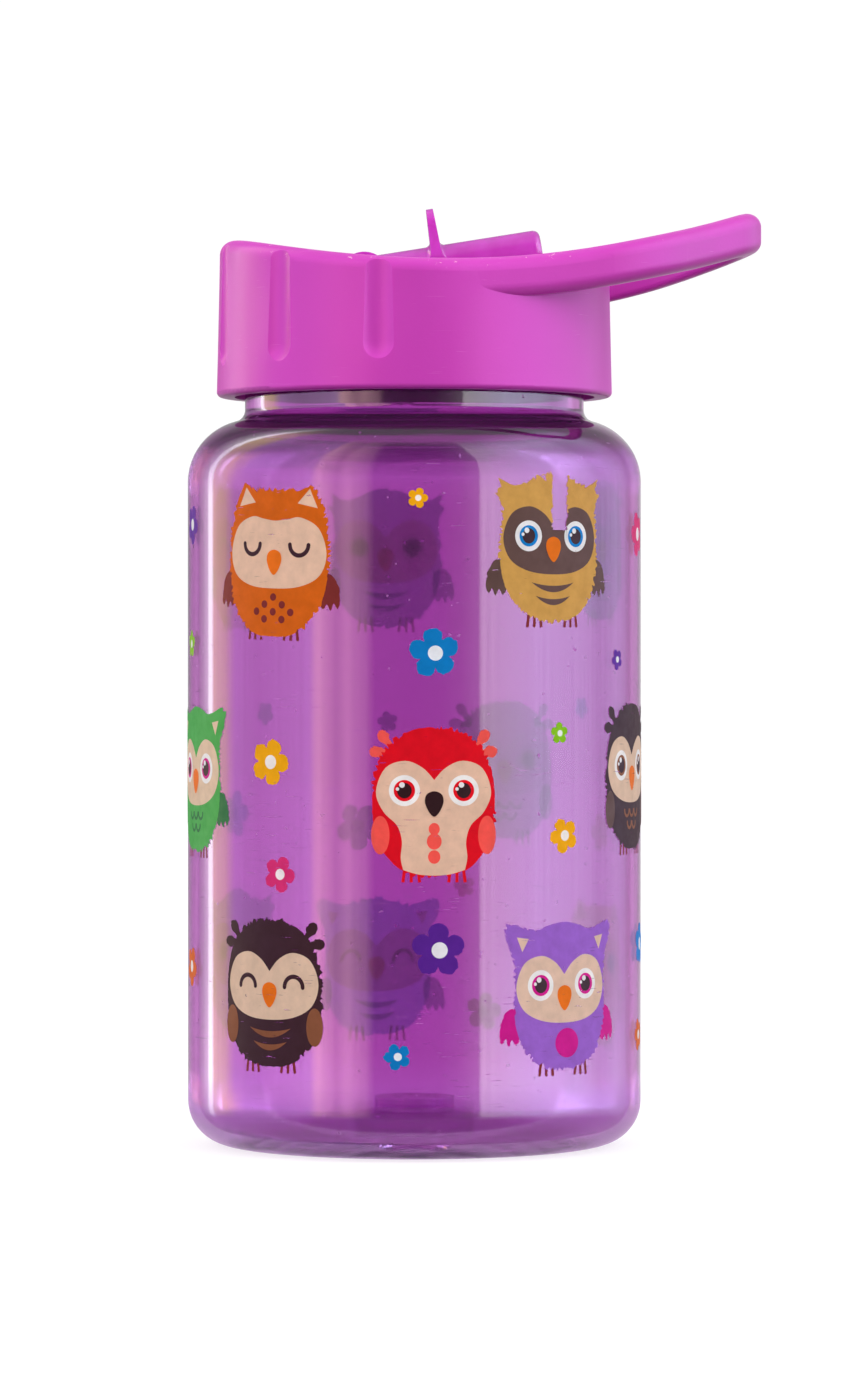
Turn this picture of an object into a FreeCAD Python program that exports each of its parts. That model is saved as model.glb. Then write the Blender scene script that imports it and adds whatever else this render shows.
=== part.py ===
import FreeCAD, Part
import math
import os

import Sketcher
from FreeCAD import Placement, Rotation, Vector

# A 400 ml kids' water bottle: a blow-moulded bottle with a threaded neck, and a screw lid with a
# carry loop and a flip-up drinking spout. Millimetres, +Z up. The origin is the centre of the foot
# ring, and the carry loop points along +X.

SIZES = {
    # bottle
    "body_radius": 36.5,
    "body_wall": 1.6,
    "corner_radius": 7.1,
    "base_wall": 2.2,
    "push_up_radius": 26.4,
    "push_up_rise": 3.4,
    "button_radius": 6.4,
    "button_rise": 2.0,
    "shoulder_start": 106.5,
    "shoulder_radius": 10.0,
    "neck_radius": 27.3,
    "neck_bore": 24.8,
    "neck_fillet": 2.0,
    "neck_top": 136.0,
    "lip_round": 0.6,
    # screw thread, shared by the neck and the lid
    "thread_pitch": 5.5,
    "thread_depth": 1.4,
    "thread_root": 2.4,
    "thread_crest": 1.2,
    "thread_sink": 0.4,
    "thread_start": 125.0,
    "thread_turns": 1.25,
    "thread_gap": 0.3,
    # lid
    "lid_radius": 31.85,
    "lid_top_radius": 31.25,
    "lid_bottom": 120.2,
    "lid_blank_top": 147.0,
    "lid_edge_round": 0.8,
    "seat_height": 137.6,
    "deck_thickness": 2.4,
    "rim_round": 2.2,
    "saddle_low_x": 4.0,
    "saddle_low_z": 140.65,
    "saddle_rear_radius": 120.0,
    "saddle_front_radius": 138.0,
    # carry loop, in plan
    "loop_root_x": 8.7,
    "loop_root_y": 30.15,
    "loop_shoulder_x": 38.2,
    "loop_shoulder_y": 22.6,
    "loop_point_x": 60.2,
    "loop_shoulder_round": 25.0,
    "loop_nose_round": 10.9,
    "loop_arm": 3.8,
    "loop_height": 6.4,
    "loop_lower_round": 2.0,
    "loop_hole_round": 0.9,
    # grip flutes round the rear of the lid
    "flute_radius": 4.0,
    "flute_axis": 34.75,
    "flute_end": 127.5,
    "flute_step": 32.0,
    "flute_count": 6.0,
    # flip spout, drawn lying along +X with its hinge at its own origin
    "hinge_x": -8.0,
    "hinge_z": 139.0,
    "spout_slope": 9.0,
    "barrel_radius": 4.2,
    "barrel_length": 14.6,
    "nozzle_length": 28.9,
    "nozzle_height": 7.34,
    "nozzle_width": 10.4,
    "nozzle_tip_round": 1.1,
    "channel_radius": 2.2,
    "tab_place": 12.05,
    "tab_height": 9.63,
    "tab_top": 1.1,
    "tab_base": 1.9,
    "tab_width": 10.0,
    "tab_corner": 3.0,
    "tab_foot_round": 0.8,
    # spout housing in the lid
    "barrel_gap": 0.35,
    "trough_gap": 0.45,
    "housing_wall": 1.8,
    "ear_wall": 2.8,
    "trough_end": 22.4,
    "relief_length": 34.0,
    "relief_width": 32.0,
    # hinge pins
    "pin_radius": 1.5,
    "pin_running_gap": 0.05,
    "pin_length": 5.6,
    "pin_socket": 2.9,
    "pin_socket_gap": 0.3,
    # spout seal
    "seal_radius": 3.9,
    "seal_bottom": 131.0,
    "seal_top": 135.5,
    "seal_port": 2.1,
    "seal_gap": 0.05,
    # lid gasket
    "gasket_inner": 24.6,
    "gasket_outer": 28.4,
    "gasket_gap": 0.05,
    "gasket_edge_round": 0.4,
    # vent valve, pushed into the trough floor
    "vent_place": 20.0,
    "vent_stem": 1.4,
    "vent_flange": 2.5,
    "vent_flange_height": 0.8,
    "vent_bulb": 2.3,
    "vent_bulb_height": 1.6,
    "vent_lip_depth": 2.6,
    "vent_lip_tip": 0.5,
    "vent_slit": 0.12,
    "vent_air_hole": 0.6,
    "vent_gap": 0.05,
}

# levels below and above the loop, a distance past everything, and a place inside the finger hole
BLANK_LOW = 130.0
BLANK_HIGH = 154.0
CLEAR = 62.0
HOLE_MIDDLE_X = 40.0

# the least volume, in cubic millimetres, that a feature has to add or remove
LEAST_CHANGE = 0.05


class Size:
    """A size with its value now and the formula that ties it to the sheet."""

    def __init__(self, value, formula):
        self.value = value
        self.formula = formula

    def __add__(self, other):
        other = sized(other)
        return Size(self.value + other.value, f"({self.formula} + {other.formula})")

    def __sub__(self, other):
        other = sized(other)
        return Size(self.value - other.value, f"({self.formula} - {other.formula})")

    def __mul__(self, other):
        other = sized(other)
        return Size(self.value * other.value, f"({self.formula} * {other.formula})")

    def __truediv__(self, other):
        other = sized(other)
        return Size(self.value / other.value, f"({self.formula} / {other.formula})")

    def __neg__(self):
        return Size(-self.value, f"(0 - {self.formula})")

    def root(self):
        return Size(math.sqrt(self.value), f"sqrt({self.formula})")

    def sine(self):
        return Size(math.sin(math.radians(self.value)), f"sin({self.formula})")

    def cosine(self):
        return Size(math.cos(math.radians(self.value)), f"cos({self.formula})")


def sized(number):
    return number if isinstance(number, Size) else Size(number, f"{number:.4f}")


def half_chord(radius, distance):
    """Half the chord that a circle cuts at a distance from its centre."""
    return (radius * radius - distance * distance).root()


class Named:
    """The sheet's sizes, each under its own alias."""

    def __init__(self, doc):
        self.sheet = doc.addObject("Spreadsheet::Sheet", "sizes")
        for row, (alias, value) in enumerate(SIZES.items(), 1):
            self.sheet.set(f"A{row}", alias)
            self.sheet.set(f"B{row}", str(value))
            self.sheet.setAlias(f"B{row}", alias)
            setattr(self, alias, Size(value, f"sizes.{alias}"))


doc = FreeCAD.newDocument("water_bottle")
s = Named(doc)
doc.recompute()


# ---- helpers for bodies, sketches and features -------------------------------------------------


def new_body(label):
    body = doc.addObject("PartDesign::Body", label)
    body.Label = label
    return body


def bind(thing, prop, size):
    """Give a property its value from the sheet."""
    thing.setExpression(prop, sized(size).formula)


def new_sketch(body, name, plane):
    sketch = body.newObject("Sketcher::SketchObject", name)
    origin = [f for f in body.Origin.OriginFeatures if f.Role == plane][0]
    sketch.AttachmentSupport = [(origin, "")]
    sketch.MapMode = "FlatFace"
    return sketch


def arc_between(start, end, radius, turn):
    """The shorter arc from start to end: turn 1 is anticlockwise and -1 clockwise."""
    chord = end - start
    sagitta = math.sqrt(max(radius**2 - (chord.Length / 2) ** 2, 0))
    side = Vector(-chord.y, chord.x, 0)
    side.normalize()
    centre = (start + end) * 0.5 + side * sagitta * turn
    first, last = (start, end) if turn > 0 else (end, start)
    angles = [math.atan2(p.y - centre.y, p.x - centre.x) for p in (first, last)]
    circle = Part.Circle(centre, Vector(0, 0, 1), radius)
    return Part.ArcOfCircle(circle, angles[0], angles[1])


def draw(sketch, corners):
    """Draw a closed outline. A corner is (x, y) where a line leaves it, or (x, y, radius, turn)."""
    count = len(corners)
    ends = []
    for i, corner in enumerate(corners):
        here = Vector(sized(corner[0]).value, sized(corner[1]).value, 0)
        after = corners[(i + 1) % count]
        there = Vector(sized(after[0]).value, sized(after[1]).value, 0)
        if len(corner) == 2:
            edge = sketch.addGeometry(Part.LineSegment(here, there), False)
            ends.append((edge, 1, 2))
        else:
            arc = arc_between(here, there, sized(corner[2]).value, corner[3])
            edge = sketch.addGeometry(arc, False)
            ends.append((edge, 1, 2) if corner[3] > 0 else (edge, 2, 1))
    for i, (edge, first, last) in enumerate(ends):
        following, start, _ = ends[(i + 1) % count]
        sketch.addConstraint(Sketcher.Constraint("Coincident", edge, last, following, start))
    for (edge, first, _), corner in zip(ends, corners):
        fix(sketch, Sketcher.Constraint("DistanceX", edge, first, sized(corner[0]).value), corner[0])
        fix(sketch, Sketcher.Constraint("DistanceY", edge, first, sized(corner[1]).value), corner[1])
        if len(corner) == 4:
            fix(sketch, Sketcher.Constraint("Radius", edge, sized(corner[2]).value), corner[2])


def fix(sketch, constraint, size):
    """Add a dimension and tie it to the sheet."""
    number = sketch.addConstraint(constraint)
    if isinstance(size, Size):
        sketch.setExpression(f"Constraints[{number}]", size.formula)


def draw_circle(sketch, x, y, radius):
    centre = Vector(sized(x).value, sized(y).value, 0)
    circle = Part.Circle(centre, Vector(0, 0, 1), radius.value)
    edge = sketch.addGeometry(circle, False)
    fix(sketch, Sketcher.Constraint("DistanceX", edge, 3, centre.x), sized(x))
    fix(sketch, Sketcher.Constraint("DistanceY", edge, 3, centre.y), sized(y))
    fix(sketch, Sketcher.Constraint("Radius", edge, radius.value), radius)


def profile(body, name, plane, corners, height=None):
    sketch = new_sketch(body, name, plane)
    if height is not None:
        bind(sketch, "AttachmentOffset.Base.z", height)
    draw(sketch, corners)
    return sketch


def disc(body, name, plane, x, y, radius, height=None):
    sketch = new_sketch(body, name, plane)
    if height is not None:
        bind(sketch, "AttachmentOffset.Base.z", height)
    draw_circle(sketch, x, y, radius)
    return sketch


def feature(body, kind, name, sketch):
    made = body.newObject(f"PartDesign::{kind}", name)
    made.Profile = sketch
    return made


def volume(body):
    return 0 if body.Shape.isNull() else body.Shape.Volume


def changed(body, name, before, cuts):
    """Stop if a cut has removed nothing, or an addition has added nothing."""
    gain = volume(body) - before
    if (-gain if cuts else gain) < LEAST_CHANGE:
        raise RuntimeError(f"{name}: the volume changed by {gain:.3f}")


def turned(body, kind, name, sketch):
    """A full Revolution or Groove about the sketch's upright axis."""
    before = volume(body)
    made = feature(body, kind, name, sketch)
    made.ReferenceAxis = (sketch, ["V_Axis"])
    made.Angle = 360
    doc.recompute()
    changed(body, name, before, kind == "Groove")


def extruded(body, kind, name, sketch, length, both_ways=False, reverse=False):
    """A Pad or Pocket of a given length, to one side of its sketch or half to each."""
    before = volume(body)
    made = feature(body, kind, name, sketch)
    if both_ways:
        made.SideType = "Symmetric"
    made.Reversed = reverse
    bind(made, "Length", length)
    doc.recompute()
    changed(body, name, before, kind == "Pocket")


def edges_where(shape, wanted):
    """The names of the edges for which wanted(edge) is true."""
    return [f"Edge{i}" for i, edge in enumerate(shape.Edges, 1) if wanted(edge)]


def rounded(body, name, base, wanted, radius):
    """A Fillet on the edges of a feature that pass a test."""
    names = edges_where(base.Shape, wanted)
    if not names:
        raise RuntimeError(f"{name}: no edge to round")
    made = body.newObject("PartDesign::Fillet", name)
    made.Base = (base, names)
    bind(made, "Radius", radius)
    doc.recompute()
    if not made.isValid():
        raise RuntimeError(f"{name}: {made.getStatusString()}")


def at_corner(x, y):
    """A test for the upright edge that stands at a point of the plan."""

    def test(edge):
        box = edge.BoundBox
        upright = box.ZLength > 1 and box.XLength < 0.01 and box.YLength < 0.01
        return upright and abs(box.Center.x - x.value) < 0.05 and abs(box.Center.y - y.value) < 0.05

    return test


def helical_rib(body, name, corners, turns):
    """A thread: a profile carried up round the axis, right-handed."""
    before = volume(body)
    sketch = profile(body, f"{name}_profile", "XZ_Plane", corners)
    made = feature(body, "AdditiveHelix", name, sketch)
    made.ReferenceAxis = (sketch, ["V_Axis"])
    made.Mode = "pitch-turns-angle"
    bind(made, "Pitch", s.thread_pitch)
    bind(made, "Turns", turns)
    doc.recompute()
    changed(body, name, before, False)


# ---- bottle ------------------------------------------------------------------------------------


def bottle_corners():
    """Half the bottle's section, outside from the axis up and inside back down."""
    inner = s.body_radius - s.body_wall
    shoulder_x = s.body_radius - s.shoulder_radius
    foot = s.body_radius - s.corner_radius
    dome = (s.push_up_radius * s.push_up_radius + s.push_up_rise * s.push_up_rise) / (
        s.push_up_rise * 2
    )
    # the fillet at the neck's root touches the shoulder's arc and the neck's wall
    across = s.neck_radius + s.neck_fillet - shoulder_x
    reach = s.shoulder_radius + s.neck_fillet
    fillet_z = s.shoulder_start + half_chord(reach, across)
    share = s.shoulder_radius / reach
    touch = (shoulder_x + across * share, s.shoulder_start + (fillet_z - s.shoulder_start) * share)
    under = s.shoulder_start + s.shoulder_radius - s.body_wall
    lip = s.body_wall
    floor = s.push_up_rise + s.base_wall
    button_foot = floor - dome + half_chord(dome, s.button_radius)
    inner_corner = s.corner_radius - s.body_wall
    return [
        (Size(0, "0"), s.push_up_rise, dome, -1),
        (s.push_up_radius, Size(0, "0")),
        (foot, Size(0, "0"), s.corner_radius, 1),
        (s.body_radius, s.corner_radius),
        (s.body_radius, s.shoulder_start, s.shoulder_radius, 1),
        (touch[0], touch[1], s.neck_fillet, -1),
        (s.neck_radius, fillet_z),
        (s.neck_radius, s.neck_top),
        (s.neck_bore, s.neck_top),
        (s.neck_bore, under + lip, lip, 1),
        (s.neck_bore + lip, under),
        (shoulder_x, under, s.shoulder_radius - s.body_wall, -1),
        (inner, s.shoulder_start),
        (inner, s.base_wall + inner_corner, inner_corner, -1),
        (inner - inner_corner, s.base_wall),
        (s.push_up_radius, s.base_wall, dome, 1),
        (s.button_radius, button_foot),
        (s.button_radius, floor + s.button_rise),
        (Size(0, "0"), floor + s.button_rise),
    ]


def neck_thread_corners():
    """The neck thread's section, its root sunk a little into the wall."""
    root = s.neck_radius - s.thread_sink
    crest = s.neck_radius + s.thread_depth
    start = s.thread_start
    return [
        (root, start - s.thread_root / 2),
        (crest, start - s.thread_crest / 2),
        (crest, start + s.thread_crest / 2),
        (root, start + s.thread_root / 2),
    ]


def make_bottle():
    body = new_body("bottle_body")
    turned(body, "Revolution", "bottle_wall", profile(body, "bottle_section", "XZ_Plane", bottle_corners()))
    helical_rib(body, "neck_thread", neck_thread_corners(), s.thread_turns)
    lip = [s.neck_radius.value, s.neck_bore.value]

    def at_lip(edge):
        box = edge.BoundBox
        level = abs(box.ZMin - s.neck_top.value) < 0.01 and box.ZLength < 0.01
        return level and any(abs(box.XLength / 2 - r) < 0.01 for r in lip)

    rounded(body, "lip_round", body.Tip, at_lip, s.lip_round)
    return body


# ---- lid ---------------------------------------------------------------------------------------


def loop_outline(inset):
    """The carry loop's plan before its corners are rounded, moved in from the outside by inset."""
    slope = (s.loop_root_y - s.loop_shoulder_y) / (s.loop_shoulder_x - s.loop_root_x)
    nose_slope = s.loop_shoulder_y / (s.loop_point_x - s.loop_shoulder_x)
    side_shift = inset * (slope * slope + 1).root()
    point_shift = inset * (nose_slope * nose_slope + 1).root() / nose_slope
    root_y = s.loop_root_y - side_shift
    point_x = s.loop_point_x - point_shift
    # where the side line, root_y - slope * (x - root), meets the front line
    shoulder_x = (nose_slope * point_x - root_y - slope * s.loop_root_x) / (nose_slope - slope)
    shoulder_y = nose_slope * (point_x - shoulder_x)
    return {
        "root": (s.loop_root_x, root_y),
        "shoulder": (shoulder_x, shoulder_y),
        "point": (point_x, sized(0)),
    }


def loop_corners(plan):
    """The plan's corners in order, with its lower half mirrored."""
    root, shoulder, point = plan["root"], plan["shoulder"], plan["point"]
    return [root, (root[0], -root[1]), (shoulder[0], -shoulder[1]), point, shoulder]


def round_loop_corners(body, name, plan, inset):
    """Round the upright edges of the loop's plan at its two shoulders and its nose."""
    x, y = plan["shoulder"]

    def at_shoulders(edge):
        return at_corner(x, y)(edge) or at_corner(x, -y)(edge)

    rounded(body, f"{name}_shoulders", body.Tip, at_shoulders, s.loop_shoulder_round - inset)
    nose = at_corner(*plan["point"])
    rounded(body, f"{name}_nose", body.Tip, nose, s.loop_nose_round - inset)


def saddle_corners(drop, rear, front, far_z):
    """The region between the saddle line, lowered by drop, and the level far_z."""
    low = s.saddle_low_z - drop
    rear_radius = s.saddle_rear_radius + drop
    front_radius = s.saddle_front_radius + drop
    rear_z = low + rear_radius - half_chord(rear_radius, s.saddle_low_x - rear)
    front_z = low + front_radius - half_chord(front_radius, front - s.saddle_low_x)
    return [
        (rear, rear_z, rear_radius, 1),
        (s.saddle_low_x, low, front_radius, 1),
        (front, front_z),
        (front, sized(far_z)),
        (rear, sized(far_z)),
    ]


def skirt_corners():
    """Half the section of the lid before its saddle, bore and threads are cut."""
    return [
        (sized(0), s.lid_bottom),
        (s.lid_radius, s.lid_bottom),
        (s.lid_top_radius, s.lid_blank_top),
        (sized(0), s.lid_blank_top),
    ]


def saddle_height(x):
    """The saddle's level at a place along X, as a plain number."""
    low, low_x = s.saddle_low_z.value, s.saddle_low_x.value
    radius = (s.saddle_front_radius if x > low_x else s.saddle_rear_radius).value
    return low + radius - math.sqrt(radius**2 - (x - low_x) ** 2)


def on_level(edge, drop):
    """Does an edge lie on the saddle surface lowered by drop?"""
    points = edge.discretize(5)
    front = s.saddle_front_radius.value
    for p in points:
        level = saddle_height(p.x) if drop == 0 else lowered_height(p.x, drop, front)
        if abs(p.z - level) > 0.03:
            return False
    return True


def lowered_height(x, drop, radius):
    low_x = s.saddle_low_x.value
    return s.saddle_low_z.value + radius - math.sqrt((radius + drop) ** 2 - (x - low_x) ** 2)


def open_beside(solid, edge, drop, away):
    """Is there no plastic beside an edge, on the side away from the lid and loop's middle or on it?"""
    middle = edge.discretize(3)[1]
    target = Vector(HOLE_MIDDLE_X if middle.x > s.loop_root_x.value else 0, 0, middle.z)
    step = (middle - target) * away
    step.normalize()
    probe = middle + step * 0.5 + Vector(0, 0, 0.3 if drop else -0.3)
    return not solid.isInside(probe, 0.001, False)


def hole_edge(solid, drop):
    """A test for the edges of the finger hole, on the saddle lowered by drop."""
    return lambda e: along_saddle(e, drop) and open_beside(solid, e, drop, -1)


def outer_edge(solid, drop):
    """A test for the edges round the outside, on the saddle lowered by drop."""
    return lambda e: along_saddle(e, drop) and open_beside(solid, e, drop, 1)


def add_carry_loop(body):
    low = sized(BLANK_LOW)
    height = sized(BLANK_HIGH - BLANK_LOW)
    outer = loop_outline(sized(0))
    inner = loop_outline(s.loop_arm)
    sketch = profile(body, "loop_plan", "XY_Plane", loop_corners(outer), low)
    extruded(body, "Pad", "loop_block", sketch, height)
    round_loop_corners(body, "loop_outer", outer, sized(0))
    sketch = profile(body, "loop_hole_plan", "XY_Plane", loop_corners(inner), low)
    extruded(body, "Pocket", "loop_hole", sketch, height, reverse=True)
    round_loop_corners(body, "loop_inner", inner, s.loop_arm)
    under = saddle_corners(s.loop_height, sized(-CLEAR), sized(CLEAR), BLANK_LOW - 1)
    sketch = profile(body, "loop_underside", "XZ_Plane", under)
    extruded(body, "Pocket", "loop_under_cut", sketch, sized(2 * CLEAR), both_ways=True)
    drop = s.loop_height.value
    lower = outer_edge(body.Tip.Shape, drop)
    rounded(body, "loop_lower_outside", body.Tip, lower, s.loop_lower_round)
    lower = hole_edge(body.Tip.Shape, drop)
    rounded(body, "loop_lower_inside", body.Tip, lower, s.loop_hole_round)


def along_saddle(edge, drop):
    """Is an edge on the lowered saddle, beyond the loop's buried ends, and not straight across it?"""
    box = edge.BoundBox
    buried = drop and box.XMax < s.loop_root_x.value + 0.1
    return on_level(edge, drop) and box.XLength > 0.01 and not buried


def trough_floor(x):
    """The trough floor's level at a place along X: parallel to the closed nozzle, just below it."""
    slope = s.spout_slope.sine() / s.spout_slope.cosine()
    below = (s.nozzle_height / 2 + s.trough_gap) / s.spout_slope.cosine()
    return s.hinge_z + (x - s.hinge_x) * slope - below


def saddle_edge(x, drop):
    """The level of the saddle, lowered by drop, at a place along X."""
    front = x.value > s.saddle_low_x.value
    radius = (s.saddle_front_radius if front else s.saddle_rear_radius) + drop
    return s.saddle_low_z - drop + radius - half_chord(radius, x - s.saddle_low_x)


def add_rims(body):
    """Round the edges of the finger hole, the rim and the foot of the skirt."""
    rounded(body, "rim_hole", body.Tip, hole_edge(body.Tip.Shape, 0), s.loop_hole_round)
    rounded(body, "rim_outside", body.Tip, outer_edge(body.Tip.Shape, 0), s.rim_round)
    level = s.lid_bottom.value
    foot = lambda e: abs(e.BoundBox.ZMax - level) < 0.01
    rounded(body, "skirt_edge", body.Tip, foot, s.lid_edge_round)


def add_flutes(body):
    """Finger grips let into the rear of the skirt, open at the rim and round at the lower end."""
    sketch = new_sketch(body, "flute_section", "XZ_Plane")
    first = Rotation(Vector(0, 1, 0), 1)
    sketch.AttachmentOffset = Placement(Vector(), first)
    bind(sketch, "AttachmentOffset.Rotation.Angle", -s.flute_step * (s.flute_count - 1) / 2 + 180)
    axis = Part.LineSegment(Vector(SIZES["flute_axis"], 0, 0), Vector(SIZES["flute_axis"], 10, 0))
    corners = [
        (s.flute_axis, s.flute_end - s.flute_radius, s.flute_radius, 1),
        (s.flute_axis + s.flute_radius, s.flute_end),
        (s.flute_axis + s.flute_radius, sized(BLANK_HIGH)),
        (s.flute_axis, sized(BLANK_HIGH)),
    ]
    draw(sketch, corners)
    line = sketch.addGeometry(axis, True)
    sketch.addConstraint(Sketcher.Constraint("Vertical", line))
    fix(sketch, Sketcher.Constraint("DistanceX", line, 1, SIZES["flute_axis"]), s.flute_axis)
    before = volume(body)
    cut = feature(body, "Groove", "flute", sketch)
    cut.ReferenceAxis = (sketch, ["Axis0"])
    cut.Angle = 360
    doc.recompute()
    one_flute = before - volume(body)
    pattern = body.newObject("PartDesign::PolarPattern", "flutes")
    pattern.Originals = [cut]
    pattern.Axis = (lid_axis(body), [""])
    pattern.Mode = "Spacing"
    bind(pattern, "Offset", s.flute_step)
    bind(pattern, "Occurrences", s.flute_count)
    body.Tip = pattern
    doc.recompute()
    changed(body, "flutes", before - one_flute, True)


def lid_axis(body):
    return [f for f in body.Origin.OriginFeatures if f.Role == "Z_Axis"][0]


def lid_bore():
    return s.neck_radius + s.thread_depth + s.thread_gap


def cut_bore(body):
    below = s.lid_bottom - 1
    corners = [
        (sized(0), below),
        (lid_bore(), below),
        (lid_bore(), s.seat_height),
        (sized(0), s.seat_height),
    ]
    turned(body, "Groove", "bore", profile(body, "bore_section", "XZ_Plane", corners))


def cut_under_deck(body):
    """Thin the deck from below, parallel to the saddle, inside the ring that the gasket seats on."""
    half = s.relief_length / 2
    corners = saddle_corners(s.deck_thickness, -half, half, s.seat_height - 1)
    sketch = profile(body, "deck_relief_section", "XZ_Plane", corners)
    extruded(body, "Pocket", "deck_relief", sketch, s.relief_width, both_ways=True)


def add_spout_housing(body):
    """The barrel's socket and the nozzle's trough, hanging under the deck."""
    inside_deck = s.deck_thickness / 2
    reach = s.barrel_radius + s.barrel_gap + s.housing_wall
    rear = s.hinge_x - reach
    front = s.hinge_x + reach
    floor = s.seal_bottom - s.housing_wall
    corners = [
        (rear + s.housing_wall * 2, floor),
        (front - s.housing_wall * 2, floor),
        (front, floor + s.housing_wall * 2),
        (front, saddle_edge(front, inside_deck), s.saddle_rear_radius + inside_deck, -1),
        (rear, saddle_edge(rear, inside_deck)),
        (rear, floor + s.housing_wall * 2),
    ]
    width = s.barrel_length + s.pin_socket_gap * 2 + s.ear_wall * 2
    sketch = profile(body, "barrel_housing_section", "XZ_Plane", corners)
    extruded(body, "Pad", "barrel_housing", sketch, width, both_ways=True)

    end = s.trough_end + s.housing_wall
    low = s.saddle_low_z - inside_deck
    corners = [
        (s.hinge_x, trough_floor(s.hinge_x) - s.housing_wall),
        (end, trough_floor(end) - s.housing_wall),
        (end, saddle_edge(end, inside_deck), s.saddle_front_radius + inside_deck, -1),
        (s.saddle_low_x, low, s.saddle_rear_radius + inside_deck, -1),
        (s.hinge_x, saddle_edge(s.hinge_x, inside_deck)),
    ]
    width = s.nozzle_width + s.trough_gap * 2 + s.housing_wall * 2
    sketch = profile(body, "trough_housing_section", "XZ_Plane", corners)
    extruded(body, "Pad", "trough_housing", sketch, width, both_ways=True)


def cut_trough(body):
    """The slot that the nozzle lies in, and the round socket that its barrel turns in."""
    open_top = sized(BLANK_HIGH)
    corners = [
        (s.hinge_x, trough_floor(s.hinge_x)),
        (s.trough_end, trough_floor(s.trough_end)),
        (s.trough_end, open_top),
        (s.hinge_x, open_top),
    ]
    sketch = profile(body, "trough_section", "XZ_Plane", corners)
    extruded(body, "Pocket", "trough", sketch, s.nozzle_width + s.trough_gap * 2, both_ways=True)

    radius = s.barrel_radius + s.barrel_gap
    corners = [
        (s.hinge_x - radius, s.hinge_z, radius, 1),
        (s.hinge_x, s.hinge_z - radius, radius, 1),
        (s.hinge_x + radius, s.hinge_z),
        (s.hinge_x + radius, open_top),
        (s.hinge_x - radius, open_top),
    ]
    sketch = profile(body, "barrel_socket_section", "XZ_Plane", corners)
    width = s.barrel_length + s.pin_socket_gap * 2
    extruded(body, "Pocket", "barrel_socket", sketch, width, both_ways=True)


def cut_seal_seat(body):
    """The recess for the spout's seal, the drinking port below it and the bores for the pins."""
    seat = s.seal_bottom - s.seal_gap
    radius = s.seal_radius + s.seal_gap
    sketch = disc(body, "seal_seat_plan", "XY_Plane", s.hinge_x, sized(0), radius, seat)
    extruded(body, "Pocket", "seal_seat", sketch, s.hinge_z - seat, reverse=True)
    floor = seat - s.housing_wall * 2
    sketch = disc(body, "port_plan", "XY_Plane", s.hinge_x, sized(0), s.seal_port, floor)
    extruded(body, "Pocket", "drinking_port", sketch, s.hinge_z - floor, reverse=True)
    sketch = disc(body, "pin_bore_section", "XZ_Plane", s.hinge_x, s.hinge_z, s.pin_radius)
    width = s.barrel_length + s.pin_socket_gap * 2 + s.ear_wall * 3
    extruded(body, "Pocket", "pin_bores", sketch, width, both_ways=True)


def tilted_disc(body, name, along, above, radius):
    """A circle on a plane square to the closed nozzle's underside, measured from the hinge."""
    sketch = new_sketch(body, name, "XY_Plane")
    sketch.AttachmentOffset = Placement(Vector(), Rotation(Vector(0, -1, 0), 1))
    sine, cosine = s.spout_slope.sine(), s.spout_slope.cosine()
    bind(sketch, "AttachmentOffset.Rotation.Angle", s.spout_slope)
    bind(sketch, "AttachmentOffset.Base.x", s.hinge_x + along * cosine - above * sine)
    bind(sketch, "AttachmentOffset.Base.z", s.hinge_z + along * sine + above * cosine)
    draw_circle(sketch, sized(0), sized(0), radius)
    return sketch


def cut_vent(body):
    """A stepped hole through the trough's floor for the vent valve."""
    floor = -(s.nozzle_height / 2 + s.trough_gap)
    stem = s.vent_stem + s.vent_gap
    flange = s.vent_flange + s.vent_gap
    sketch = tilted_disc(body, "vent_plan", s.vent_place, floor, stem)
    extruded(body, "Pocket", "vent", sketch, s.housing_wall * 3)
    sketch = tilted_disc(body, "vent_seat_plan", s.vent_place, floor, flange)
    extruded(body, "Pocket", "vent_seat", sketch, s.vent_flange_height + s.vent_gap)


def lid_thread_corners():
    """The lid thread's section: half a pitch below the neck thread's, pointing inwards."""
    root = lid_bore() + s.thread_sink
    crest = s.neck_radius + s.thread_gap
    start = s.thread_start - s.thread_pitch / 2
    return [
        (root, start - s.thread_root / 2),
        (root, start + s.thread_root / 2),
        (crest, start + s.thread_crest / 2),
        (crest, start - s.thread_crest / 2),
    ]


def make_lid():
    body = new_body("lid_shell")
    add_carry_loop(body)
    turned(body, "Revolution", "skirt", profile(body, "skirt_section", "XZ_Plane", skirt_corners()))
    above = saddle_corners(sized(0), sized(-CLEAR), sized(CLEAR), BLANK_HIGH + 1)
    sketch = profile(body, "saddle", "XZ_Plane", above)
    extruded(body, "Pocket", "saddle_cut", sketch, sized(2 * CLEAR), both_ways=True)
    add_rims(body)
    add_flutes(body)
    cut_bore(body)
    cut_under_deck(body)
    add_spout_housing(body)
    cut_trough(body)
    cut_seal_seat(body)
    cut_vent(body)
    helical_rib(body, "lid_thread", lid_thread_corners(), s.thread_turns)
    return body


# ---- flip spout --------------------------------------------------------------------------------


def place_at_hinge(thing):
    """Stand a piece drawn with its hinge at its origin where the closed spout lies."""
    thing.Placement = Placement(Vector(), Rotation(Vector(0, -1, 0), 1))
    bind(thing, "Placement.Base.x", s.hinge_x)
    bind(thing, "Placement.Base.z", s.hinge_z)
    bind(thing, "Placement.Rotation.Angle", s.spout_slope)


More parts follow.
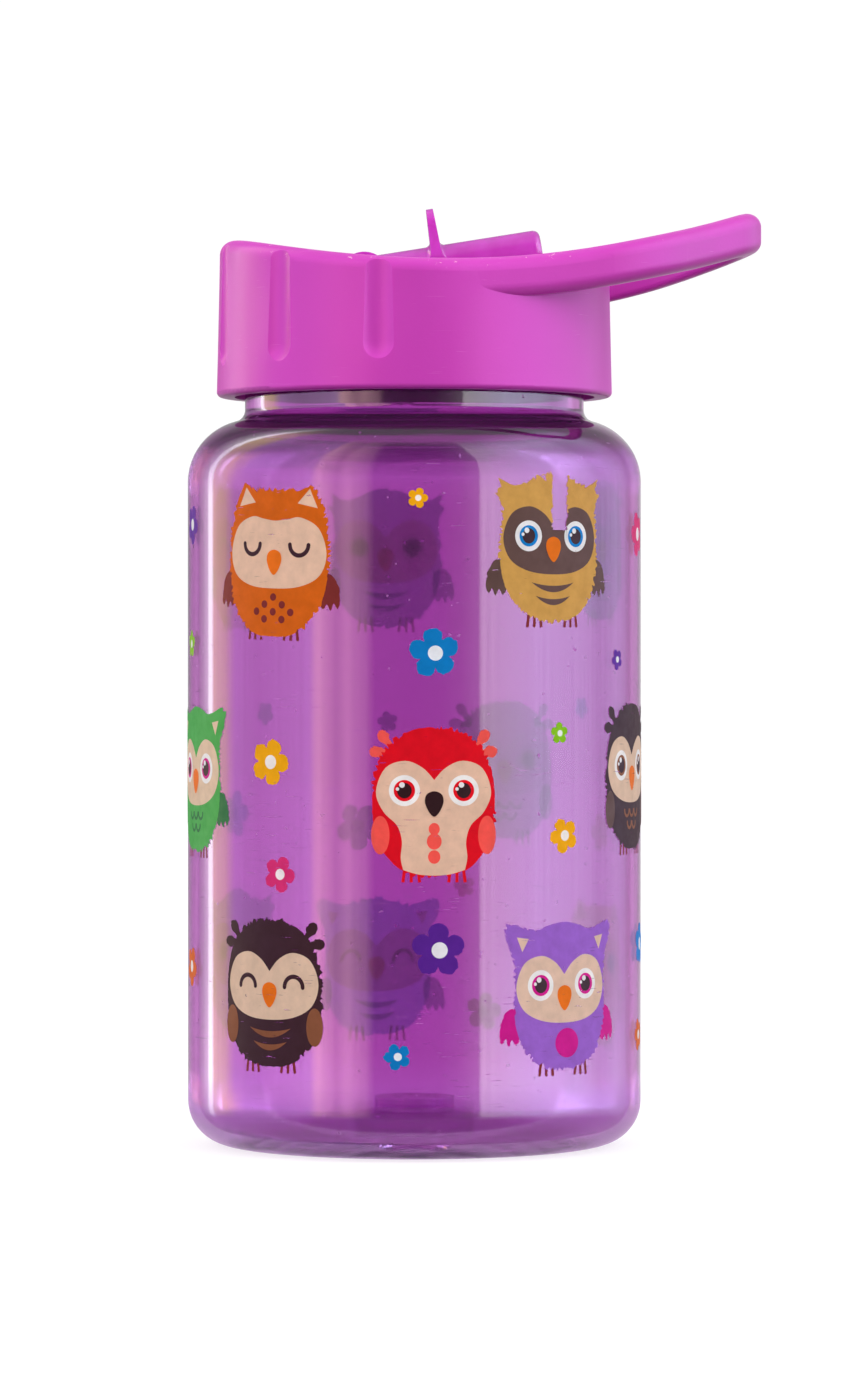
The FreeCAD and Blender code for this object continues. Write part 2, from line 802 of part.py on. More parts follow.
def make_spout():
    body = new_body("flip_spout")
    sketch = disc(body, "barrel_section", "XZ_Plane", sized(0), sized(0), s.barrel_radius)
    extruded(body, "Pad", "barrel", sketch, s.barrel_length, both_ways=True)
    add_nozzle(body)
    add_tab(body)
    sketch = disc(body, "channel_section", "YZ_Plane", sized(0), sized(0), s.channel_radius)
    channel = s.nozzle_length * 2 + 2
    extruded(body, "Pocket", "drinking_channel", sketch, channel, both_ways=True)
    cut_pin_sockets(body)
    place_at_hinge(body)
    return body


def add_nozzle(body):
    """The flat-sided tube that is drunk from, square to the barrel."""
    side = (s.nozzle_width - s.nozzle_height) / 2
    high = s.nozzle_height / 2
    corners = [
        (-side, -high),
        (side, -high, high, 1),
        (side + high, sized(0), high, 1),
        (side, high),
        (-side, high, high, 1),
        (-side - high, sized(0), high, 1),
    ]
    sketch = profile(body, "nozzle_section", "YZ_Plane", corners)
    extruded(body, "Pad", "nozzle", sketch, s.nozzle_length)
    end = s.nozzle_length.value
    tip = lambda e: abs(e.BoundBox.XMin - end) < 0.01 and e.BoundBox.XLength < 0.01
    rounded(body, "nozzle_tip", body.Tip, tip, s.nozzle_tip_round)


def add_tab(body):
    """The thumb tab that stands up from the nozzle, thicker at its foot, round at its top corners."""
    top, base = s.tab_top / 2, s.tab_base / 2
    corners = [
        (s.tab_place - base, sized(0)),
        (s.tab_place + base, sized(0)),
        (s.tab_place + top, s.tab_height),
        (s.tab_place - top, s.tab_height),
    ]
    sketch = profile(body, "tab_section", "XZ_Plane", corners)
    extruded(body, "Pad", "thumb_tab", sketch, s.tab_width, both_ways=True)
    edge_y = s.tab_width.value / 2
    height = s.tab_height.value

    def top_corner(edge):
        box = edge.BoundBox
        end = abs(box.Center.z - height) < 0.01 and box.ZLength < 0.01
        return end and box.YLength < 0.01 and abs(abs(box.Center.y) - edge_y) < 0.01

    rounded(body, "tab_corners", body.Tip, top_corner, s.tab_corner)

    def tab_foot(edge):
        box = edge.BoundBox
        on_nozzle = 0.1 < box.ZMin and box.ZMax < s.nozzle_height.value / 2 + 0.01
        return on_nozzle and abs(box.Center.x - s.tab_place.value) < s.tab_base.value

    rounded(body, "tab_foot", body.Tip, tab_foot, s.tab_foot_round)


def cut_pin_sockets(body):
    """Blind sockets in the barrel's two ends, where it turns on the pins."""
    radius = s.pin_radius + s.pin_running_gap
    for name, sign in (("near", 1), ("far", -1)):
        end = s.barrel_length / 2 * sign
        sketch = disc(body, f"{name}_socket_section", "XZ_Plane", sized(0), sized(0), radius, end)
        extruded(body, "Pocket", f"{name}_socket", sketch, s.pin_socket, reverse=sign < 0)


# ---- small pieces ------------------------------------------------------------------------------


def make_gasket():
    """A flat silicone ring with rounded edges, between the bottle's lip and the lid's seat."""
    body = new_body("lid_gasket")
    low = s.neck_top + s.gasket_gap
    high = s.seat_height - s.gasket_gap
    corners = [
        (s.gasket_inner, low),
        (s.gasket_outer, low),
        (s.gasket_outer, high),
        (s.gasket_inner, high),
    ]
    turned(body, "Revolution", "ring", profile(body, "ring_section", "XZ_Plane", corners))
    rounded(body, "ring_edges", body.Tip, lambda e: e.Length > 10, s.gasket_edge_round)
    return body


def make_spout_seal():
    """A silicone plug with a hollow top that the spout's barrel wipes, and a port through it."""
    body = new_body("spout_seal")
    low = s.seal_bottom
    height = s.seal_top - low
    sketch = disc(body, "plug_plan", "XY_Plane", s.hinge_x, sized(0), s.seal_radius, low)
    extruded(body, "Pad", "plug", sketch, height)
    sketch = disc(body, "port_plan", "XY_Plane", s.hinge_x, sized(0), s.seal_port, low)
    extruded(body, "Pocket", "port", sketch, height, reverse=True)
    wiped = s.barrel_radius + s.seal_gap
    sketch = disc(body, "barrel_section", "XZ_Plane", s.hinge_x, s.hinge_z, wiped)
    extruded(body, "Pocket", "barrel_hollow", sketch, s.barrel_length, both_ways=True)
    return body


def make_vent_valve():
    """A silicone valve: a flange in the trough's floor, a stem, and two lips closed under it."""
    body = new_body("vent_valve")
    gap = s.vent_gap
    top = sized(0)
    under = -s.vent_flange_height
    neck = under - s.housing_wall + s.vent_flange_height - gap * 2
    tip = neck - s.vent_lip_depth
    corners = [
        (sized(0), tip),
        (s.vent_lip_tip, tip),
        (s.vent_stem, neck - s.vent_bulb_height),
        (s.vent_bulb, neck),
        (s.vent_stem, neck),
        (s.vent_stem, under),
        (s.vent_flange, under),
        (s.vent_flange, top),
        (sized(0), top),
    ]
    turned(body, "Revolution", "valve", profile(body, "valve_section", "XZ_Plane", corners))
    wide = s.vent_bulb
    slot = [(-wide, tip - 1), (wide, tip - 1), (wide, neck), (-wide, neck)]
    sketch = profile(body, "slit_section", "XZ_Plane", slot)
    extruded(body, "Pocket", "slit", sketch, s.vent_slit, both_ways=True)
    air = disc(body, "air_plan", "XY_Plane", sized(0), sized(0), s.vent_air_hole, neck - 0.01)
    extruded(body, "Pocket", "air_hole", air, top - neck + 1, reverse=True)
    sine, cosine = s.spout_slope.sine(), s.spout_slope.cosine()
    floor = -(s.nozzle_height / 2 + s.trough_gap + gap)
    body.Placement = Placement(Vector(), Rotation(Vector(0, -1, 0), 1))
    bind(body, "Placement.Base.x", s.hinge_x + s.vent_place * cosine - floor * sine)
    bind(body, "Placement.Base.z", s.hinge_z + s.vent_place * sine + floor * cosine)
    bind(body, "Placement.Rotation.Angle", s.spout_slope)
    return body


def make_pin(name, sign):
    """One stub pin, along Y, pressed through an ear of the lid into the barrel's socket."""
    pin = doc.addObject("Part::Cylinder", name)
    bind(pin, "Radius", s.pin_radius)
    bind(pin, "Height", s.pin_length)
    pin.Placement = Placement(Vector(), Rotation(Vector(1, 0, 0), -90 * sign))
    outer = s.barrel_length / 2 + s.pin_socket_gap + s.ear_wall
    bind(pin, "Placement.Base.x", s.hinge_x)
    bind(pin, "Placement.Base.y", (outer - s.pin_length) * sign)
    bind(pin, "Placement.Base.z", s.hinge_z)
    return pin


def make_pins():
    pins = doc.addObject("Part::Compound", "hinge_pins")
    pins.Label = "hinge_pins"
    pins.Links = [make_pin("left_pin", 1), make_pin("right_pin", -1)]
    doc.recompute()
    return pins


# ---- the whole bottle --------------------------------------------------------------------------


def check(thing):
    """Stop if a sub-part's shape is missing, broken or in the wrong number of solids."""
    shape = thing.Shape
    if shape.isNull() or not shape.isValid():
        raise RuntimeError(f"{thing.Label}: no valid shape")
    print(thing.Label, round(shape.Volume, 1), "mm3", len(shape.Solids), "solid(s)")


def check_states():
    for thing in doc.Objects:
        if {"Invalid", "Error"} & set(thing.State):
            raise RuntimeError(f"{thing.Name}: {thing.State}")


sub_parts = [
    make_bottle(),
    make_lid(),
    make_spout(),
    make_gasket(),
    make_spout_seal(),
    make_vent_valve(),
    make_pins(),
]
doc.recompute()
check_states()
os.makedirs("parts", exist_ok=True)
for sub_part in sub_parts:
    check(sub_part)
    sub_part.Shape.exportStep(f"parts/{sub_part.Label}.step")
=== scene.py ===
"""Looks for the kids' water bottle: materials, prints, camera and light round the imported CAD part."""

import math
import random

import bmesh
import bpy
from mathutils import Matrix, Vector


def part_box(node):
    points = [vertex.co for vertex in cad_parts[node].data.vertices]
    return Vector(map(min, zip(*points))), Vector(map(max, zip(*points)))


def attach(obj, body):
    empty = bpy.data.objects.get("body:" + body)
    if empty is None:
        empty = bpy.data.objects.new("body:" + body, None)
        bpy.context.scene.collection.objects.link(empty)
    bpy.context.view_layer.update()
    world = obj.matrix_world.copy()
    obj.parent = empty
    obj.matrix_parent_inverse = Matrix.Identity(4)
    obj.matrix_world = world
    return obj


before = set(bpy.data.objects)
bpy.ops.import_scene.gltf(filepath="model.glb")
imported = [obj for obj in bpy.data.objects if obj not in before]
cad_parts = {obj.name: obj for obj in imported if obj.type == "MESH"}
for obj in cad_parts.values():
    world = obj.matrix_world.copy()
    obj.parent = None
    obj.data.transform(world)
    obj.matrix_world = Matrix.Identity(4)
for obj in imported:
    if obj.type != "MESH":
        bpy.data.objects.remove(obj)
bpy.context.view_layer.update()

MM = 0.001
WALL_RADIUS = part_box("bottle_body")[1].x / MM

# the saddle that the lid's rim follows: its lowest point and its mean radius of curvature
SADDLE_X = 0.004
SADDLE_Z = 0.14065
SADDLE_RADIUS = 0.130

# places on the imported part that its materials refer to, in metres
RIM_INNER = 0.0288  # from the axis to where the lid's rim starts
RIM_DEPTH = (0.0004, 0.0018)  # below the rim, where its nicks thin out and end
NECK_ROOT = 0.1147  # the height where the shoulder turns up into the neck
FOOT_CORNER = (0.006, 0.012)  # the heights where the foot's outer corner counts fully and not at all
SHOULDER_START = (0.104, 0.109)  # the heights between which the painted light on the shoulder sets in
SHOULDER_END = (0.1108, 0.1125)  # the heights between which it ends
CORNER_REACH = (0.027, 0.031)  # from the axis, where both corners start and count fully


# ---- colours -----------------------------------------------------------------------------------


def linear(red, green, blue):
    """A screen colour from 0 to 255, as the linear numbers that shaders take."""

    def one(value):
        share = value / 255
        return share / 12.92 if share <= 0.04045 else ((share + 0.055) / 1.055) ** 2.4

    return (one(red), one(green), one(blue), 1.0)


INKS = {
    "orange": linear(222, 104, 18),
    "rust": linear(122, 44, 40),
    "tan": linear(216, 164, 84),
    "cocoa": linear(92, 68, 62),
    "red": linear(236, 12, 34),
    "cream": linear(238, 204, 178),
    "soot": linear(44, 22, 26),
    "brown": linear(136, 84, 56),
    "lilac": linear(162, 104, 210),
    "magenta": linear(216, 26, 146),
    "green": linear(66, 170, 74),
    "leaf": linear(30, 110, 56),
    "blue": linear(10, 130, 204),
    "navy": linear(44, 52, 140),
    "grey": linear(128, 84, 140),
    "white": linear(252, 250, 252),
    "yellow": linear(255, 180, 14),
    "lime": linear(140, 204, 30),
    "pink": linear(226, 50, 120),
    "violet": linear(92, 36, 150),
    "beak": linear(238, 118, 24),
    "coral": linear(255, 92, 84),
}


# the materials' colours, linear from 0 to 1
BOTTLE_TINT = (0.565, 0.195, 0.575, 1)
BOTTLE_SLANT_TINT = (0.50, 0.11, 0.50, 1)
# partly painted shade: the darker tint at the neck's root, for the thicker wall and for the dark band
# that refraction shows there
BOTTLE_THICK_WALL_AND_SHADE_TINT = (0.24, 0.02, 0.22, 1)
# painted light: the pale see-through tint on the foot's corner and the shoulder
BOTTLE_CORNER_GLOW_TINT = (0.80, 0.60, 0.86, 1)
BOTTLE_HAZE = linear(190, 120, 200)
BOTTLE_SHADE = (0.75, 0.45, 0.78, 1)
LID_DEEP = (0.53, 0.040, 0.42, 1)
LID_LIGHT = (0.60, 0.052, 0.48, 1)
LID_MARK = linear(236, 150, 226)
LID_CHIP = linear(244, 196, 214)
SPOUT_DEEP = (0.64, 0.05, 0.56, 1)
SPOUT_LIGHT = (0.74, 0.08, 0.68, 1)
SILICONE = (0.8, 0.78, 0.82, 1)
SILICONE_DUST = (0.5, 0.47, 0.5, 1)
STEEL_DARK = (0.48, 0.48, 0.5, 1)
STEEL_LIGHT = (0.66, 0.66, 0.68, 1)
FLOOR_DARK = (0.29, 0.29, 0.29, 1)
FLOOR_LIGHT = (0.31, 0.31, 0.31, 1)
PAPER_WHITE = (1, 1, 1, 1)

PLASTIC_IOR = 1.49
THICK_WALL_AND_SHADE_SHARE = 0.85  # how far the neck's root takes the darker tint: partly the thicker wall, partly painted shade for the dark band that refraction shows there
CORNER_GLOW_SHARE = 0.6  # how much of the foot's corner is painted light: a pale see-through that passes the light without bending
SHOULDER_GLOW_SHARE = 0.6  # the shoulder's share of that
HAZE_SHARE = 0.03  # what the clean plastic scatters
WORN_SHARE = 0.4  # what a scratch or a speck scatters on top of it
INK_DARKER = 0.86  # the darker patches in an ink, beside its colour
INK_PALENESS = 0.55  # how far the ink's colour pales when seen from inside
INK_BODY = 0.25  # the share of light from behind that the ink scatters when seen from inside
INK_LIT = 0.15  # the same when seen from in front


# ---- material nodes ----------------------------------------------------------------------------


class Graph:
    """A material's nodes, with short ways to add and join them."""

    def __init__(self, name):
        self.material = bpy.data.materials.new(name)
        self.material.use_nodes = True
        self.tree = self.material.node_tree
        self.tree.nodes.clear()
        self.place = self.add("ShaderNodeTexCoord").outputs["Object"]

    def add(self, kind, inputs=None, **settings):
        node = self.tree.nodes.new(kind)
        for key, value in settings.items():
            setattr(node, key, value)
        for key, value in (inputs or {}).items():
            self.put(node.inputs[key], value)
        return node

    def put(self, socket, value):
        if isinstance(value, bpy.types.NodeSocket):
            self.tree.links.new(value, socket)
        else:
            socket.default_value = value

    def math(self, operation, *values):
        node = self.add("ShaderNodeMath", operation=operation)
        for socket, value in zip(node.inputs, values):
            self.put(socket, value)
        return node.outputs[0]

    def stretched(self, scale, turn=(0, 0, 0)):
        """The object's coordinates, turned and then scaled."""
        node = self.add("ShaderNodeMapping", {"Vector": self.place, "Scale": scale, "Rotation": turn})
        return node.outputs[0]

    def noise(self, scale, detail=3.0, roughness=0.5, where=None, distortion=0.0):
        inputs = {
            "Vector": where or self.place,
            "Scale": scale,
            "Detail": detail,
            "Roughness": roughness,
            "Distortion": distortion,
        }
        return self.add("ShaderNodeTexNoise", inputs).outputs["Fac"]

    def between(self, value, low, high, out_low=0.0, out_high=1.0):
        inputs = {0: value, 1: low, 2: high, 3: out_low, 4: out_high}
        return self.add("ShaderNodeMapRange", inputs, clamp=True).outputs[0]

    def blend(self, share, first, second):
        node = self.add("ShaderNodeMix", data_type="RGBA")
        self.put(node.inputs["Factor"], share)
        self.put(node.inputs["A"], first)
        self.put(node.inputs["B"], second)
        return node.outputs["Result"]

    def bump(self, height, distance, strength=1.0, normal=None):
        inputs = {"Height": height, "Distance": distance, "Strength": strength}
        if normal is not None:
            inputs["Normal"] = normal
        return self.add("ShaderNodeBump", inputs).outputs[0]

    def mix(self, share, first, second):
        node = self.add("ShaderNodeMixShader")
        self.put(node.inputs[0], share)
        self.put(node.inputs[1], first.outputs[0])
        self.put(node.inputs[2], second.outputs[0])
        return node

    def scratches(self, along, across, turn, least):
        """Thin marks, about 1/along long and 1/across wide, where a stretched noise is above least."""
        where = self.stretched((along, along, across), turn)
        lines = self.noise(1.0, 2.0, 0.5, where, 0.3)
        patches = self.noise(70.0, 2.0, 0.5)
        return self.math(
            "MULTIPLY",
            self.between(lines, least, least + 0.03),
            self.between(patches, 0.48, 0.6),
        )

    def crossed(self, first, second):
        """Two sets of scratches, each given as scratches() takes it, on top of each other."""
        return self.math("MAXIMUM", self.scratches(*first), self.scratches(*second))

    def show(self, shader):
        self.add("ShaderNodeOutputMaterial", {"Surface": shader.outputs[0]})
        return self.material


def clear_violet():
    """The bottle's tinted copolyester: clear, glossy, with faint smears, scuffs and scratches, painted
    light on the foot's corner and shoulder, and a darker neck root that is partly painted shade.
    """
    g = Graph("clear_violet_copolyester")
    scuffs = g.crossed(
        (170.0, 5200.0, (0.5, 0.75, 0), 0.715),
        (210.0, 4800.0, (-0.6, -0.3, 0), 0.72),
    )
    specks = g.between(g.noise(900.0, 1.0, 0.4), 0.775, 0.8)
    marks = g.math("MAXIMUM", scuffs, specks)
    smears = g.noise(45.0, 3.0, 0.6, g.stretched((1, 1, 0.35)))
    rough = g.math("ADD", g.between(smears, 0.35, 0.75, 0.02, 0.06), g.math("MULTIPLY", marks, 0.3))
    ripples = g.noise(40.0, 1.0, 0.4, g.stretched((1, 1, 0.3)))
    normal = g.bump(ripples, 0.0002, 0.12)
    normal = g.bump(marks, 0.00002, 0.6, normal)
    slant = g.add("ShaderNodeLayerWeight", {"Blend": 0.5}).outputs["Facing"]
    tint = g.blend(slant, BOTTLE_TINT, BOTTLE_SLANT_TINT)
    # painted shade at the neck's root, partly the thicker wall's deeper tint
    tint = g.blend(g.math("MULTIPLY", neck_root_wall_and_shade(g), THICK_WALL_AND_SHADE_SHARE), tint, BOTTLE_THICK_WALL_AND_SHADE_TINT)
    glass = g.add(
        "ShaderNodeBsdfPrincipled",
        {
            "Base Color": tint,
            "Roughness": rough,
            "IOR": PLASTIC_IOR,
            "Transmission Weight": 1.0,
            "Normal": normal,
        },
    )
    haze = g.add("ShaderNodeBsdfDiffuse", {"Color": BOTTLE_HAZE})
    wear_and_corner_glow = g.mix(g.math("MULTIPLY_ADD", marks, WORN_SHARE, HAZE_SHARE), glass, haze)
    # painted light: a pale see-through on the foot's corner and the shoulder, which lightens them
    corner_glow = g.add("ShaderNodeBsdfTransparent", {"Color": BOTTLE_CORNER_GLOW_TINT})
    wear_and_corner_glow = g.mix(g.math("MULTIPLY", painted_corner_glow(g), CORNER_GLOW_SHARE), wear_and_corner_glow, corner_glow)
    lamp_side = g.add("ShaderNodeBsdfTransparent", {"Color": BOTTLE_SHADE})
    ray = g.add("ShaderNodeLightPath").outputs["Is Shadow Ray"]
    return g.show(g.mix(ray, wear_and_corner_glow, lamp_side))


def off_axis(g, split):
    """The distance from the bottle's axis, from a place split into X, Y and Z."""
    x, y = (split.outputs[axis] for axis in "XY")
    return g.math("SQRT", g.math("ADD", g.math("MULTIPLY", x, x), g.math("MULTIPLY", y, y)))


def painted_corner_glow(g):
    """Painted light: 1 on the foot's outer corner, the shoulder's share on the shoulder, and 0 on the
    straight wall; a pale see-through there stands in for the bright light that refraction shows.
    """
    split = g.add("ShaderNodeSeparateXYZ", {"Vector": g.place})
    height = split.outputs["Z"]
    foot = g.between(height, *FOOT_CORNER, 1.0, 0.0)
    start = g.between(height, *SHOULDER_START, 0.0, SHOULDER_GLOW_SHARE)
    shoulder = g.math("MULTIPLY", start, g.between(height, *SHOULDER_END, 1.0, 0.0))
    outside = g.between(off_axis(g, split), *CORNER_REACH)
    return g.math("MULTIPLY", g.math("MAXIMUM", foot, shoulder), outside)


def neck_root_wall_and_shade(g):
    """1 where the shoulder turns up into the neck, and 0 away from it: there the thicker wall tints
    deeper, and a darker band is painted as shade for the dark that refraction shows there.
    """
    height = g.add("ShaderNodeSeparateXYZ", {"Vector": g.place}).outputs["Z"]
    over = g.between(height, NECK_ROOT - 0.005, NECK_ROOT - 0.0015)
    under = g.between(height, NECK_ROOT + 0.001, NECK_ROOT + 0.003, 1.0, 0.0)
    return g.math("MULTIPLY", over, under)


def rim_nearness(g):
    """1 at the lid's upper rim and along the carry loop, and 0 on the deck and below the rim."""
    split = g.add("ShaderNodeSeparateXYZ", {"Vector": g.place})
    across = g.math("SUBTRACT", split.outputs["X"], SADDLE_X)
    rise = g.math("DIVIDE", g.math("MULTIPLY", across, across), 2 * SADDLE_RADIUS)
    depth = g.math("SUBTRACT", g.math("ADD", rise, SADDLE_Z), split.outputs["Z"])
    outer = g.between(off_axis(g, split), RIM_INNER, RIM_INNER + 0.002)
    return g.math("MULTIPLY", outer, g.between(depth, *RIM_DEPTH, 1.0, 0.0))


def satin_magenta():
    """The lid's moulded polypropylene: satin, slightly see-through, with nicks along its rim."""
    g = Graph("satin_magenta_polypropylene")
    flow = g.noise(38.0, 3.0, 0.55, g.stretched((1, 1, 0.6)))
    base = g.blend(g.between(flow, 0.3, 0.7), LID_DEEP, LID_LIGHT)
    chips = g.between(g.noise(950.0, 4.0, 0.7), 0.62, 0.66)
    spread = g.between(g.noise(120.0, 2.0, 0.5), 0.52, 0.58)
    nicks = g.math("MULTIPLY", g.math("MULTIPLY", chips, spread), rim_nearness(g))
    lines = g.crossed(
        (160.0, 4200.0, (1.2, 0.25, 0), 0.715),
        (190.0, 4600.0, (0.2, -0.2, 0), 0.72),
    )
    colour = g.blend(g.math("MULTIPLY", lines, 0.3), base, LID_MARK)
    colour = g.blend(nicks, colour, LID_CHIP)
    grain = g.noise(2600.0, 2.0, 0.5)
    normal = g.bump(grain, 0.00003, 0.35)
    normal = g.bump(lines, 0.00002, 0.5, normal)
    normal = g.bump(nicks, 0.0003, -0.8, normal)
    rough = g.math("ADD", g.between(flow, 0.3, 0.7, 0.34, 0.42), g.math("MULTIPLY", nicks, 0.3))
    plastic = g.add(
        "ShaderNodeBsdfPrincipled",
        {
            "Base Color": colour,
            "Roughness": rough,
            "IOR": PLASTIC_IOR,
            "Specular IOR Level": 0.3,
            "Subsurface Weight": 0.25,
            "Subsurface Radius": (0.0025, 0.0008, 0.002),
            "Subsurface Scale": 1.0,
            "Normal": normal,
        },
    )
    return g.show(plastic)


def deep_violet():
    """The flip spout's plastic, tinted deeper than the lid and half see-through."""
    g = Graph("deep_violet_spout_plastic")
    cloud = g.noise(220.0, 2.0, 0.5)
    marks = g.scratches(300.0, 5000.0, (0.4, 0.5, 0), 0.70)
    colour = g.blend(g.between(cloud, 0.35, 0.65), SPOUT_DEEP, SPOUT_LIGHT)
    normal = g.bump(marks, 0.00002, 0.6, g.bump(cloud, 0.0001, 0.2))
    plastic = g.add(
        "ShaderNodeBsdfPrincipled",
        {
            "Base Color": colour,
            "Roughness": g.math("MULTIPLY_ADD", marks, 0.3, 0.16),
            "IOR": PLASTIC_IOR,
            "Transmission Weight": 0.35,
            "Subsurface Weight": 0.4,
            "Subsurface Radius": (0.003, 0.0006, 0.0025),
            "Subsurface Scale": 1.0,
            "Normal": normal,
        },
    )
    return g.show(plastic)


def milky_silicone():
    """The seals: matt, milky, with a fine moulded grain and a little dust."""
    g = Graph("milky_silicone")
    grain = g.noise(1800.0, 3.0, 0.6)
    dust = g.between(g.noise(600.0, 4.0, 0.7), 0.6, 0.72)
    plastic = g.add(
        "ShaderNodeBsdfPrincipled",
        {
            "Base Color": g.blend(g.math("MULTIPLY", dust, 0.3), SILICONE, SILICONE_DUST),
            "Roughness": g.between(grain, 0.3, 0.7, 0.42, 0.58),
            "IOR": 1.43,
            "Subsurface Weight": 0.5,
            "Subsurface Radius": (0.002, 0.002, 0.002),
            "Subsurface Scale": 1.0,
            "Normal": g.bump(grain, 0.00004, 0.5),
        },
    )
    return g.show(plastic)


def ground_steel():
    """The stub pins' stainless steel, ground round and round."""
    g = Graph("ground_steel")
    rings = g.noise(1.0, 3.0, 0.6, g.stretched((150, 9000, 150)))
    metal = g.add(
        "ShaderNodeBsdfPrincipled",
        {
            "Base Color": g.blend(rings, STEEL_DARK, STEEL_LIGHT),
            "Metallic": 1.0,
            "Roughness": g.between(rings, 0.2, 0.8, 0.22, 0.4),
            "Normal": g.bump(rings, 0.00002, 0.6),
        },
    )
    return g.show(metal)


def ink(name, colour):
    """Screen-printed ink, flaked and scratched: solid in front, and a tinted film from inside."""
    g = Graph(f"ink_{name}")
    body = g.noise(500.0, 3.0, 0.6)
    fine = g.noise(5200.0, 1.0, 0.5)
    darker = tuple(part * INK_DARKER for part in colour[:3]) + (1.0,)
    tone = g.blend(g.between(body, 0.3, 0.7), colour, darker)
    flakes = g.between(g.noise(260.0, 5.0, 0.72), 0.70, 0.71)
    lines = g.crossed(
        (240.0, 3600.0, (0.9, 0.3, 0), 0.715),
        (260.0, 4000.0, (-0.5, 0.9, 0), 0.72),
    )
    missing = g.math("MAXIMUM", flakes, lines)
    coat = g.add(
        "ShaderNodeBsdfPrincipled",
        {
            "Base Color": tone,
            "Roughness": g.between(body, 0.3, 0.7, 0.42, 0.55),
            "IOR": 1.45,
            "Specular IOR Level": 0.12,
            "Normal": g.bump(g.math("ADD", fine, body), 0.00002, 0.4),
        },
    )
    lit = g.add("ShaderNodeBsdfTranslucent", {"Color": tone})
    pale = g.blend(INK_PALENESS, tone, PAPER_WHITE)
    film = g.mix(INK_BODY, g.add("ShaderNodeBsdfTransparent", {"Color": pale}), lit)
    inside = g.add("ShaderNodeNewGeometry").outputs["Backfacing"]
    whole = g.mix(inside, g.mix(INK_LIT, coat, lit), film)
    return g.show(g.mix(missing, whole, g.add("ShaderNodeBsdfTransparent")))


def dress(node, material):
    """Give a CAD node one material."""
    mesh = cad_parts[node].data
    mesh.materials.clear()
    mesh.materials.append(material)


# ---- printed pictures --------------------------------------------------------------------------

INK_LIFT = 0.05  # mm from the wall to the lowest ink
INK_STEP = 0.015  # mm from one ink to the next on top of it
STRIP = 1.2  # mm between the upright cuts that let a flat shape bend round the wall
FRAY_STEP = 0.3  # mm between the points of a frayed edge
FRAY_SHARE = 0.55  # how much of an edge is rough
FRAY_CALM = 0.12  # how far the rest of it strays, beside the rough runs
FRAY_RUN = (8, 26)  # the fewest and the most points in a run
TEAR_STEP = 0.45  # mm between the teeth of a torn strip's sides
TEAR_STRAY = 0.3  # mm that a tooth strays from the strip's straight side
EYE_OUT = 4.8  # mm from an owl's middle to each eye, before OWL_SCALE
FOOT_OUT = 3.7  # the same, to each foot
OWL_SCALE = 0.96  # the outlines below give owls 20 mm wide and 24 mm high at 1


def oval(x, y, rx, ry, count=48):
    """A closed outline in mm, as every outline here is."""
    turns = [2 * math.pi * i / count for i in range(count)]
    return [(x + rx * math.cos(t), y + ry * math.sin(t)) for t in turns]


def smooth(points, steps=5):
    """A closed outline through the points, round everywhere but at a point that is given twice."""
    out = []
    count = len(points)
    for i in range(count):
        before, start, end, after = (Vector(points[(i + k) % count]) for k in (-1, 0, 1, 2))
        if start == end:
            continue
        leaving = (end - before) / 2
        coming = (after - start) / 2
        for t in (k / steps for k in range(steps)):
            far = t * t * (3 - 2 * t)
            spot = start.lerp(end, far)
            spot += leaving * t * (1 - t) ** 2 - coming * t * t * (1 - t)
            out.append((spot.x, spot.y))
    return out


def mirrored(half):
    """Both sides of an outline whose right side is given from its top to its bottom."""
    return half + [(-x, y) for x, y in reversed(half) if x > 0]


def placed(points, x, y, degrees=0.0, side=1):
    """The points turned by degrees and moved to x, y, then mirrored if side is -1."""
    c = math.cos(math.radians(degrees))
    s = math.sin(math.radians(degrees))
    return [(side * (x + u * c - v * s), y + u * s + v * c) for u, v in points]


def arc(x, y, radius, turns):
    """Points on a circle round x, y, at the given turns in degrees."""
    angles = [math.radians(turn) for turn in turns]
    return [(x + radius * math.cos(a), y + radius * math.sin(a)) for a in angles]


def arc_band(x, y, radius, thickness, start, end):
    """A curved stroke of round ends, from start to end in degrees."""
    steps = 16
    turns = [start + (end - start) * i / steps for i in range(steps + 1)]
    outer = arc(x, y, radius, turns)
    inner = arc(x, y, radius - thickness, turns[::-1])
    ends = []
    for turn, first in ((start, 180), (end, 0)):
        ((cx, cy),) = arc(x, y, radius - thickness / 2, [turn])
        ends.append(arc(cx, cy, thickness / 2, [turn + first + 180 * i / 5 for i in range(1, 5)]))
    return outer + ends[1] + inner + ends[0]


def crescent(x, y, width, depth):
    """A feather mark: a shallow upper edge and a belly below, with pointed ends."""
    steps = 14
    places = [-1 + 2 * i / steps for i in range(steps + 1)]
    upper = [(x + width / 2 * t, y - depth * 0.35 * (1 - t * t)) for t in places]
    lower = [(x + width / 2 * t, y - depth * (1 - t * t)) for t in reversed(places[1:-1])]
    return upper + lower


def stroke(x0, y0, x1, y1, width):
    """A short straight line with a width."""
    along = Vector((x1 - x0, y1 - y0))
    side = Vector((-along.y, along.x)).normalized() * width / 2
    return [
        (x0 - side.x, y0 - side.y),
        (x1 - side.x, y1 - side.y),
        (x1 + side.x, y1 + side.y),
        (x0 + side.x, y0 + side.y),
    ]


def petals(radius, turn):
    """A flower of five round petals."""
    points = []
    for i in range(60):
        t = 2 * math.pi * i / 60
        r = radius * (0.6 + 0.4 * abs(math.cos(2.5 * t)) ** 0.6)
        a = t + math.radians(turn)
        points.append((r * math.cos(a), r * math.sin(a)))
    return points


